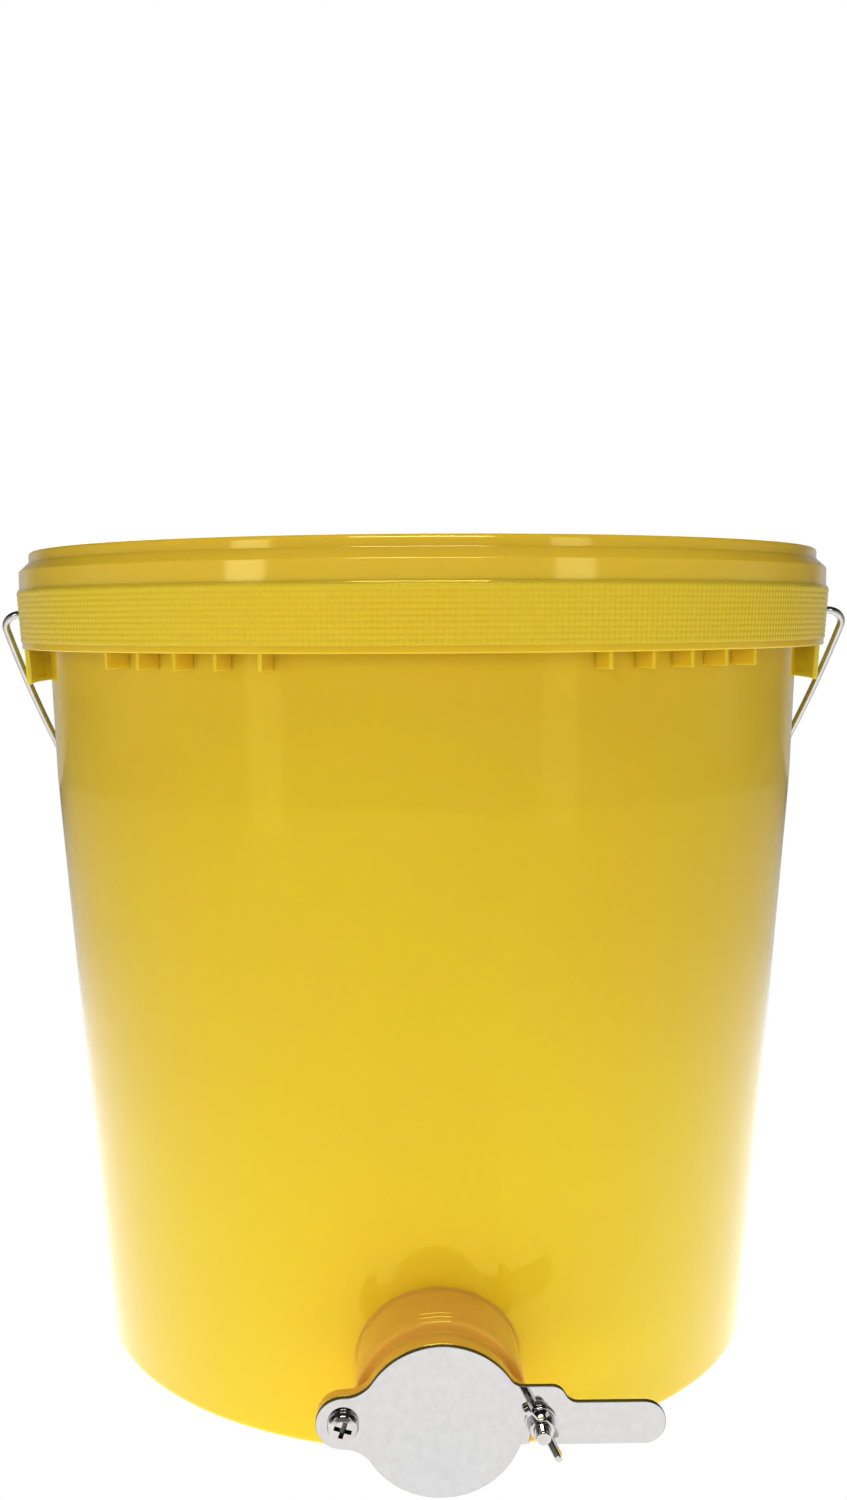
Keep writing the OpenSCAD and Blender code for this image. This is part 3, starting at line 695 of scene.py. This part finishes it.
def thread(root, crest, pitch, low, high, sides):
    verts, faces = [], []
    steps = int((high - low) / pitch * sides)
    for i in range(steps + 1):
        a = 2 * math.pi * i / sides
        z = low + pitch * i / sides
        tip = root + (crest - root) * min(1, i / sides, (steps - i) / sides)
        for r, dz in ((root, -0.45), (tip, -0.08), (tip, 0.08), (root, 0.45)):
            verts.append((r * math.cos(a), r * math.sin(a), z + dz * pitch))
    for i in range(steps):
        for k in range(3):
            faces.append((4 * i + k, 4 * i + 4 + k, 4 * i + 5 + k, 4 * i + 1 + k))
    return verts, faces


def ring_groove(r, z, half, deep):
    return [(r, z - half, 0), (r - deep, z, 0), (r, z + half, 0)]


body = piece("gate_outlet", revolve(rounded([
    (BORE_R, -PIPE_L, 0.6),
    (PIPE_R, -PIPE_L, 0.6),
    (PIPE_R, BARREL_BACK, 0),
    (BARREL_R, BARREL_BACK, 0.4),
    *[corner for z in BARREL_GROOVES for corner in ring_groove(BARREL_R, z, 0.2, 0.2)],
    (BARREL_R, BARREL_FRONT, 1.5),
    (WAIST_R, BARREL_FRONT, 0.6),
    *ring_groove(WAIST_R, WAIST_GROOVE, 0.4, 0.3),
    (WAIST_R, FACE_CORE_BACK, 0),
    (FACE_CORE_R, FACE_CORE_BACK, 0),
    (FACE_CORE_R, FACE_CORE_FRONT, 0),
    (BORE_R, FACE_FRONT, 0.5),
]), 128), GATE)
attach(body, "bucket")
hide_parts("gate_body")
h = hollow(FACE_R, GATE_EAR_R, GATE_EAR_X, GATE_HOLLOW_R)
a = math.atan2(h.y, h.x)
b = math.atan2(h.y, h.x - GATE_EAR_X)
side = arc(h.x, -h.y, GATE_HOLLOW_R, math.pi - a, math.pi - b, 10)
side += arc(GATE_EAR_X, 0, GATE_EAR_R, -b, b, 32)
side += arc(h.x, h.y, GATE_HOLLOW_R, math.pi + b, math.pi + a, 10)
side += arc(0, 0, FACE_R, a, math.pi - a, 40)[1:-1]
outline = [Matrix.Rotation(turn, 2) @ p for turn in (0, math.pi) for p in side]
face = piece("gate_face", plate(outline, FACE_BACK, FACE_FRONT, FACE_EDGE), GATE)
PIVOT, LOCK = [GATE @ Matrix.Translation((x, 0, 0)) for x in (-GATE_EAR_X, GATE_EAR_X)]
tools = [piece("bore", drum(BORE_R, CUT_BACK, CUT_FRONT), GATE)]
for ear in (PIVOT, LOCK):
    tools.append(piece("ear_hole", drum(BOLT_R + BOLT_PLAY, CUT_BACK, CUT_FRONT, 32), ear))
    tools.append(piece("pocket", drum(NUT_POCKET_R, CUT_BACK, FACE_BACK + NUT_POCKET_DEEP, 6), ear))
cut(face, *tools)
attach(face, "bucket")
coil = thread(PIPE_THREAD_ROOT, PIPE_THREAD_CREST, PIPE_PITCH, PIPE_THREAD_FROM, PIPE_THREAD_TO, 96)
pipe = piece("pipe_thread", coil, GATE, sharp=20)
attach(pipe, "bucket")
amber = plastic("gate_amber", (0.75, 0.39, 0.053), (0.82, 0.455, 0.063), soft=0.35)
for obj in (body, face, pipe):
    wear(obj, amber)

# Lock nut
# A ring nut of the same plastic, spun on the pipe inside the bucket; eight
# lugs let it be tightened by hand against the inner seal.

INNER_SEAL_R = 29
INNER_SEAL_T = 1.5
NUT_IN, NUT_R = 24.05, 28.4
NUT_H = 13
NUT_EDGE = 0.6
LUGS = 8
LUG_W = 7
LUG_IN, LUG_OUT = 26.15, 30.8
LUG_INSET = 0.4
inside_r = wall_r(OUTLET_Z) - WALL
sag = inside_r - math.sqrt(inside_r ** 2 - INNER_SEAL_R ** 2)
nut_face = -(WALL / math.cos(DRAFT) + INNER_SEAL_T + sag)
nut_back = nut_face - NUT_H
lug = block((LUG_IN, -LUG_W / 2, nut_back + LUG_INSET), (LUG_OUT, LUG_W / 2, nut_face - LUG_INSET))
lug_turns = [Matrix.Rotation((i + 0.5) * 2 * math.pi / LUGS, 4, "Z") for i in range(LUGS)]
rim = rounded([(NUT_IN, nut_back, 0.6), (NUT_R, nut_back, 1),
               (NUT_R, nut_face, 0.6), (NUT_IN, nut_face, 0.4)])
ring = piece("lock_ring", joined(revolve(rim, 96), *[moved(lug, turn) for turn in lug_turns]), GATE)
bevelled(ring, NUT_EDGE).limit_method = "ANGLE"
wear(ring, amber)
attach(ring, "bucket")
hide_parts("lock_nut")

# Gate blade
# A plate of two-millimetre stainless steel, cut out and deburred: a disc over
# the outlet, an ear on the pivot, a slot for the bolt and a rounded handle.

PLAY = 0.12
BLADE_T = 2
BLADE_EDGE = 0.18
BLADE_SAG = math.radians(-0.5)
DISC_R = 30.8
BLADE_EAR_R = 10.3
BLADE_HOLLOW_R = 13
SLOT_R = 3.6
SLOT_IN, SLOT_OUT = 9.6, 7.8
SHELF_Y = 14.4
SHELF_ROUND = 6
HANDLE_END = 84.1
HANDLE_LOW, HANDLE_HIGH = -9.2, 7.8
HANDLE_ROUND = 8.2
HANDLE_NECK_ROUND = 5.5
PIVOT_HOLE_R = 3.06
blade_back = FACE_FRONT + PLAY
blade_front = blade_back + BLADE_T
h = hollow(DISC_R, BLADE_EAR_R, GATE_EAR_X, BLADE_HOLLOW_R)
a = math.atan2(h.y, -h.x)
b = math.atan2(h.y, -h.x + GATE_EAR_X)
f_y = SHELF_Y + SHELF_ROUND
f = Vector((math.sqrt((DISC_R + SHELF_ROUND) ** 2 - f_y ** 2), f_y))
fa = math.atan2(f.y, f.x)
outline = arc(0, 0, DISC_R, fa, a, 48)
outline += arc(-h.x, h.y, BLADE_HOLLOW_R, a - math.pi, b - math.pi, 12)[1:]
outline += arc(-GATE_EAR_X, 0, BLADE_EAR_R, b, 2 * math.pi - b, 36)[1:]
outline += arc(-h.x, -h.y, BLADE_HOLLOW_R, math.pi - b, math.pi - a, 12)[1:]
outline += arc(0, 0, DISC_R, 2 * math.pi - a, 2 * math.pi + math.asin(HANDLE_LOW / DISC_R), 60)[1:]
# The handle's first and last corners only give a direction.
corners = [
    (40.4, -8),
    (42.0, HANDLE_LOW, 1.5),
    (HANDLE_END, HANDLE_LOW, HANDLE_ROUND),
    (HANDLE_END, HANDLE_HIGH, HANDLE_ROUND),
    (48.0, HANDLE_HIGH, HANDLE_NECK_ROUND),
    (44.2, SHELF_Y, HANDLE_NECK_ROUND),
    (30, SHELF_Y),
]
handle = [p for i in range(1, 6) for p in corner_arc(corners[i - 1], corners[i], corners[i + 1], 10)]
handle += arc(f.x, f.y, SHELF_ROUND, -math.pi / 2, fa - math.pi, 10)[:-1]
slot_in_r, slot_out_r = 2 * GATE_EAR_X - SLOT_R, 2 * GATE_EAR_X + SLOT_R
slot = arc(-GATE_EAR_X, 0, slot_in_r, -math.asin(SLOT_IN / slot_in_r), 0, 8)
slot += arc(GATE_EAR_X, 0, SLOT_R, math.pi, 0, 20)[1:-1]
slot += arc(-GATE_EAR_X, 0, slot_out_r, 0, -math.asin(SLOT_OUT / slot_out_r), 6)
pivot = Vector((-GATE_EAR_X, 0))


def sagging(points):
    return [pivot + Matrix.Rotation(BLADE_SAG, 2) @ (p - pivot) for p in points]


outline = sagging(outline) + slot + sagging(handle)
blade = piece("blade_plate", plate(outline, blade_back, blade_front, BLADE_EDGE), GATE)
cut(blade, piece("pivot_hole", drum(PIVOT_HOLE_R, 30, 50, 48), PIVOT))
rolled, tree, skin = material("rolled_steel")
skin.inputs["Metallic"].default_value = 1
marks = speckled(tree, 280, 5, (0.425, 0.425, 0.43), (0.465, 0.465, 0.47), start=0.3, end=0.7)
place = node(tree, "TexCoord")
stretch = node(tree, "Mapping", {"Scale": (12, 300, 300)})
brush = node(tree, "TexNoise", {"Scale": 14, "Detail": 6})
polish = node(tree, "MapRange", {"To Min": 0.04, "To Max": 0.10})
bump = node(tree, "Bump", {"Strength": 0.05, "Distance": 0.0001})
connect(tree,
        (marks, "Colour", skin, "Base Color"),
        (place, "Object", stretch, "Vector"),
        (stretch, "Vector", brush, "Vector"),
        (brush, "Fac", polish, "Value"),
        (polish, "Result", skin, "Roughness"),
        (brush, "Fac", bump, "Height"),
        (bump, "Normal", skin, "Normal"))
# Near-black steel for the blade's cut edges, and painted shade in the pivot screw's cross recess.
dark_edge_and_recess_shade, tree, skin = material("dark_edge_and_recess_shade_steel")
skin.inputs["Metallic"].default_value = 1
skin.inputs["Roughness"].default_value = 0.35
near_black_specks = speckled(tree, 700, 3, (0.05, 0.045, 0.04), (0.12, 0.11, 0.10))
connect(tree, (near_black_specks, "Colour", skin, "Base Color"))
wear(blade, rolled, dark_edge_and_recess_shade)
outward = GATE.to_3x3() @ Vector((0, 0, 1))
for side in blade.data.polygons:
    side.material_index = int(abs(side.normal.dot(outward)) < 0.9)
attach(blade, "blade")
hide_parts("gate_blade")

# Pivot screw
# A stainless pan-head screw with a cross recess, driven through the blade and
# the left ear into a nut; the blade turns on its plain shank.

SCREW_BACK = 27.6
SHANK_R = 2.95
HEAD_R = 6.0
HEAD_H = 3.8
RECESS_L, RECESS_W = 6.8, 1.8
RECESS_UP = 1.8
RECESS_TURN = -0.31
THREAD_PITCH = 1.0
SCREW_ROOT_R = 2.75
SCREW_THREAD_FROM, SCREW_THREAD_TO = 28.4, 34
bright = bright_metal("bright_stainless", 380, 5, (0.36, 0.35, 0.34), (0.54, 0.53, 0.52), 0.03, 0.10)
head = blade_front + PLAY
floor_z = head + RECESS_UP
screw = piece("pivot_pan_screw", revolve(rounded([
    (0, SCREW_BACK, 0),
    (2.5, SCREW_BACK, 0.3),
    (SHANK_R, SCREW_BACK + 0.6, 0),
    (SHANK_R, head, 0),
    (HEAD_R - 0.1, head, 0.3),
    (HEAD_R, head + 1.4, 0.5),
    (HEAD_R - 0.8, head + 3.0, 1.2),
    (3.4, head + HEAD_H - 0.1, 1.5),
    (0, head + HEAD_H, 0),
]), 64), PIVOT)
bar = block((-RECESS_L / 2, -RECESS_W / 2, floor_z), (RECESS_L / 2, RECESS_W / 2, head + 5))
cross = [PIVOT @ Matrix.Rotation(turn + RECESS_TURN, 4, "Z") for turn in (0, math.pi / 2)]
cut(screw, *[piece("slot", bar, turn) for turn in cross])
coil = thread(SCREW_ROOT_R, BOLT_R, THREAD_PITCH, SCREW_THREAD_FROM, SCREW_THREAD_TO, 40)
coil = piece("pivot_screw_thread", coil, PIVOT, sharp=20)
wear(screw, bright, dark_edge_and_recess_shade)
wear(coil, bright)
# The cross recess's walls and floor take the near-black steel, as painted shade.
inward = PIVOT.inverted()
for side in screw.data.polygons:
    spot = inward @ (side.center / MM)
    in_recess = floor_z - 0.1 < spot.z < head + 3.6 and spot.to_2d().length < 3.6
    walls = in_recess and side.normal.dot(outward) < 0.99
    side.material_index = int(walls or abs(spot.z - floor_z) < 0.05)
for obj in (screw, coil):
    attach(obj, "bucket")
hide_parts("pivot_screw")

# Pivot nut
# A plain hexagon nut of the same steel, caught in a six-sided pocket at the back
# of the left ear, so that the screw can be driven from the front alone.

NUT_FLATS = 10
NUT_BACK, NUT_FRONT = 28.5, 33.5
HEX_CHAMFER = 0.5
HEX_TURN = Matrix.Rotation(math.pi / 6, 4, "Z")


def hexagon(flats, low, high, chamfer):
    r = flats / math.sqrt(3)
    verts, faces = [], []
    turns = 48
    for z, size in ((low, -chamfer), (low + chamfer * 0.6, 0), (high - chamfer * 0.6, 0), (high, -chamfer)):
        for k in range(turns):
            t = 2 * math.pi * k / turns
            flat = flats / 2 / math.cos((t + math.pi / 6) % (math.pi / 3) - math.pi / 6)
            edge = min(flat, r + size) if size else flat
            verts.append((edge * math.cos(t), edge * math.sin(t), z))
    for i in range(3):
        for k in range(turns):
            n = (k + 1) % turns
            faces.append((i * turns + k, i * turns + n, (i + 1) * turns + n, (i + 1) * turns + k))
    return verts, faces + [tuple(range(turns)), tuple(range(3 * turns, 4 * turns))]


nut = piece("pivot_hex_nut", hexagon(NUT_FLATS, NUT_BACK, NUT_FRONT, HEX_CHAMFER), PIVOT @ HEX_TURN, sharp=20)
cut(nut, piece("nut_hole", drum(PIVOT_HOLE_R, 20, 40, 40), PIVOT), sharp=20)
wear(nut, bright)
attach(nut, "bucket")
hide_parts("pivot_nut")

# Locking bolt
# A hexagon bolt pushed through the right ear from behind; its threaded end
# stands in front of the blade and takes the wing nut.

BOLT_HEAD_BACK = 29.5
BOLT_CORE_R = 2.78
BOLT_END = 11.6
BOLT_SHANK_BACK = 33
BOLT_ROOT_R = 2.7
BOLT_THREAD_FROM = 37
tip = blade_front + BOLT_END
shank = rounded([(0, BOLT_SHANK_BACK, 0), (BOLT_CORE_R, BOLT_SHANK_BACK, 0),
                 (BOLT_CORE_R, tip, 0.7), (0, tip, 0)])
bolt_head = moved(hexagon(NUT_FLATS, BOLT_HEAD_BACK, NUT_FRONT, HEX_CHAMFER), HEX_TURN)
bolt = piece("lock_hex_bolt", joined(bolt_head, revolve(shank, 48)), LOCK, sharp=20)
coil = thread(BOLT_ROOT_R, BOLT_R, THREAD_PITCH, BOLT_THREAD_FROM, tip - 0.8, 48)
coil = piece("lock_bolt_thread", coil, LOCK, sharp=20)
for obj in (bolt, coil):
    wear(obj, bright)
    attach(obj, "bucket")
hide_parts("locking_bolt")

# Clamp washer
# A washer stamped from stainless sheet, its edges tumbled round. It lies between
# the blade and the wing nut and spreads the clamping force.

WASHER_IN, WASHER_R = 3.3, 6
WASHER_T = 1.2
washer_back = blade_front + PLAY
washer_front = washer_back + WASHER_T
section = rounded([(WASHER_IN, washer_back, 0.15), (WASHER_R, washer_back, 0.3),
                   (WASHER_R, washer_front, 0.3), (WASHER_IN, washer_front, 0.15)], 3)
washer = piece("clamp_ring", revolve(section, 64), LOCK)
wear(washer, bright)
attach(washer, "clamp")
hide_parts("clamp_washer")

# Wing nut
# A forged stainless nut whose two wings lean outwards, for tightening the blade
# by hand.

HUB_LOW_R, HUB_TOP_R = 5.5, 4.5
HUB_H = 5
WING_REACH, WING_RISE = 10.8, 5.8
WING_TIP_R = 2.7
WING_T = 2.6
WING_EDGE = 0.5
WING_TURN = 121
hub_back = washer_front + PLAY
hub_front = hub_back + HUB_H
section = rounded([(PIVOT_HOLE_R, hub_back, 0.3), (HUB_LOW_R, hub_back, 0.3),
                   (HUB_TOP_R, hub_front, 0.8), (PIVOT_HOLE_R, hub_front, 0.3)], 4)
hub = revolve(section, 48)
lean = math.atan2(WING_RISE, WING_REACH)
outline = [Vector((3.2, 0.4)), Vector((4.4, 0.3))]
outline += arc(WING_REACH, WING_RISE, WING_TIP_R, lean - math.pi / 2, lean + math.pi / 2, 16)
outline += [Vector((4.2, 5.4)), Vector((3.2, 4.8))]
wing = plate(outline, -WING_T / 2, WING_T / 2, WING_EDGE)
stand = Matrix.Translation((0, 0, hub_back)) @ Matrix.Rotation(math.pi / 2, 4, "X")
turns = [Matrix.Rotation(math.radians(WING_TURN + t), 4, "Z") for t in (0, 180)]
wings = piece("wing_clamp", joined(hub, *[moved(wing, turn @ stand) for turn in turns]), LOCK)
wear(wings, bright)
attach(wings, "wing_nut")
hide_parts("wing_nut")

# Room
# White to the camera all round. What lights the object and shows in its gloss is
# dimmer: brighter straight behind and at the sides, dark between, with dusk above.

ROOM_STOPS = ((0.08, 0.45), (0.15, 0.12), (0.30, 0.12), (0.42, 0.40), (0.80, 0.40), (0.90, 0.28))


def grey_ramp(tree, stops):
    ramp = node(tree, "ValToRGB")
    for i, (spot, shade) in enumerate(stops):
        stop = ramp.color_ramp.elements[i] if i < 2 else ramp.color_ramp.elements.new(spot)
        stop.position = spot
        stop.color = (shade, shade, shade, 1)
    return ramp


scene = bpy.context.scene
scene.view_settings.view_transform = "Standard"
scene.world = bpy.data.worlds.new("studio")
scene.world.use_nodes = True
tree = scene.world.node_tree
dim = tree.nodes["Background"]
place = node(tree, "TexCoord")
ahead = node(tree, "VectorMath", {1: (0, -1, 0)})
ahead.operation = "DOT_PRODUCT"
share = node(tree, "MapRange", {"From Min": -1})
band = grey_ramp(tree, ROOM_STOPS)
height = node(tree, "SeparateXYZ")
dusk = node(tree, "MapRange", {"From Min": 0.05, "From Max": 0.35, "To Min": 1, "To Max": 0.08})
white = node(tree, "Background", {"Strength": 1, "Color": (1, 1, 1, 1)})
seen = node(tree, "LightPath")
blend = node(tree, "MixShader")
connect(tree,
        (place, "Generated", ahead, 0),
        (ahead, "Value", share, "Value"),
        (share, "Result", band, "Fac"),
        (band, "Color", dim, "Color"),
        (place, "Generated", height, "Vector"),
        (height, "Z", dusk, "Value"),
        (dusk, "Result", dim, "Strength"),
        (seen, "Is Camera Ray", blend, "Fac"),
        (dim, "Background", blend, 1),
        (white, "Background", blend, 2),
        (blend, "Shader", tree.nodes["World Output"], "Surface"))

# Floor
# Pale paper, plain white to the camera. It throws light up at the bucket, less
# the farther away it is. Sizes from here on are in metres.

FLOOR_HALF = 2.0
GLOW_STOPS = ((0.0, 0.10), (0.60, 0.40), (0.84, 1.0))
mesh = bpy.data.meshes.new("floor")
corners = [(x * FLOOR_HALF, y * FLOOR_HALF, 0) for x, y in ((-1, -1), (1, -1), (1, 1), (-1, 1))]
mesh.from_pydata(corners, [], [range(4)])
floor = bpy.data.objects.new("floor", mesh)
scene.collection.objects.link(floor)
paper, tree, skin = material("paper")
skin.inputs["Roughness"].default_value = 0.9
skin.inputs["Specular IOR Level"].default_value = 0.1
skin.inputs["Emission Strength"].default_value = 1.3
fibre = speckled(tree, 60, 2, (0.48, 0.48, 0.48), (0.52, 0.52, 0.52))
place = node(tree, "TexCoord")
away = node(tree, "VectorMath")
away.operation = "LENGTH"
nearness = node(tree, "MapRange", {"From Min": FLOOR_HALF, "From Max": 0.0})
glow = grey_ramp(tree, GLOW_STOPS)
plain = node(tree, "Emission", {"Color": (1, 1, 1, 1)})
seen = node(tree, "LightPath")
blend = node(tree, "MixShader")
connect(tree,
        (fibre, "Colour", skin, "Base Color"),
        (place, "Object", away, 0),
        (away, "Value", nearness, "Value"),
        (nearness, "Result", glow, "Fac"),
        (glow, "Color", skin, "Emission Color"),
        (seen, "Is Camera Ray", blend, "Fac"),
        (skin, "BSDF", blend, 1),
        (plain, "Emission", blend, 2),
        (blend, "Shader", tree.nodes["Material Output"], "Surface"))
mesh.materials.append(paper)

# Lights
# Soft boxes light the surfaces and are mirrored nowhere. Strips also show in the
# gloss of the wall. The lid's strip lights nothing and only draws a line on its edges.


def stage_light(lamp, spot, lights, mirrored):
    light = bpy.data.objects.new(lamp.name, lamp)
    light.matrix_world = spot
    light.visible_camera = False
    light.visible_diffuse = lights
    light.visible_glossy = mirrored
    scene.collection.objects.link(light)
    return light


for name, spot, aim, size, power, lights, mirrored in (
        ("left_softbox", (-0.87, -0.39, 0.45), (0, 0, 0.3), (0.6, 1.0), 0.5, True, False),
        ("right_softbox", (0.87, -0.39, 0.45), (0, 0, 0.3), (0.6, 1.0), 0.4, True, False),
        ("left_strip", (-0.75, -0.77, 0.54), (0, 0, 0.54), (0.19, 0.52), 1.0, True, True),
        ("left_low_strip", (-0.75, -0.77, 0.14), (0, 0, 0.14), (0.19, 0.28), 0.14, True, True),
        ("right_strip", (0.61, -0.88, 0.54), (0, 0, 0.54), (0.19, 0.52), 0.75, True, True),
        ("right_low_strip", (0.61, -0.88, 0.14), (0, 0, 0.14), (0.19, 0.28), 0.12, True, True),
        ("front_softbox", (-0.2, -1.3, 0.55), (0, 0, 0.2), (0.9, 0.6), 4.0, True, False),
        ("lid_strip", (-0.03, -0.75, 1.0), (0, -0.19, 0.36), (0.55, 0.3), 7.5, False, True),
        ("top_softbox", (0, -0.2, 1.7), (0, -0.1, 0), (1.4, 1.4), 13, True, False)):
    lamp = bpy.data.lights.new(name, "AREA")
    lamp.shape = "RECTANGLE"
    lamp.size, lamp.size_y = size
    lamp.energy = power
    facing = (Vector(aim) - Vector(spot)).to_track_quat("-Z", "Y").to_matrix().to_4x4()
    stage_light(lamp, Matrix.Translation(spot) @ facing, lights, mirrored)

# A faint warm disc in the gate's barrel, 18 mm out, faces the wall, throws no shadow and
# lights the bucket's shell alone. It stands for the amber glow that the gate casts there.
GLOW_OUT = 18
lamp = bpy.data.lights.new("gate_glow", "AREA")
lamp.shape = "DISK"
lamp.size = 0.066
lamp.color = (1, 0.44, 0.3)
lamp.energy = 0.062
lamp.use_shadow = False
glow_spot = Matrix.Translation(MM * (GATE @ Vector((0, 0, GLOW_OUT)))) @ GATE.to_3x3().to_4x4()
linking = stage_light(lamp, glow_spot, True, False).light_linking
linking.receiver_collection = bpy.data.collections.new("wall_only")
linking.receiver_collection.objects.link(shell)

# Camera
# At the photograph's height and angle, a little left of the gate and looking
# slightly down. Its focal length is in pixels of a picture 1500 pixels high.

SENSOR = 36
FOCAL_PX, PICTURE_H = 1496, 1500
EYE_FAR, EYE_Z = 0.7304, 0.3345
AROUND = math.radians(1.6)
DOWN = math.radians(5)
ROLL = -0.0057
eye = bpy.data.cameras.new("camera")
eye.sensor_fit = "VERTICAL"
eye.sensor_height = SENSOR
eye.lens = SENSOR * FOCAL_PX / PICTURE_H
camera = bpy.data.objects.new("camera", eye)
spot = Matrix.Translation((-EYE_FAR * math.sin(AROUND), -EYE_FAR * math.cos(AROUND), EYE_Z))
facing = Matrix.Rotation(-AROUND, 4, "Z") @ Matrix.Rotation(math.pi / 2 - DOWN, 4, "X")
camera.matrix_world = spot @ facing @ Matrix.Rotation(ROLL, 4, "Z")
scene.collection.objects.link(camera)
scene.camera = camera
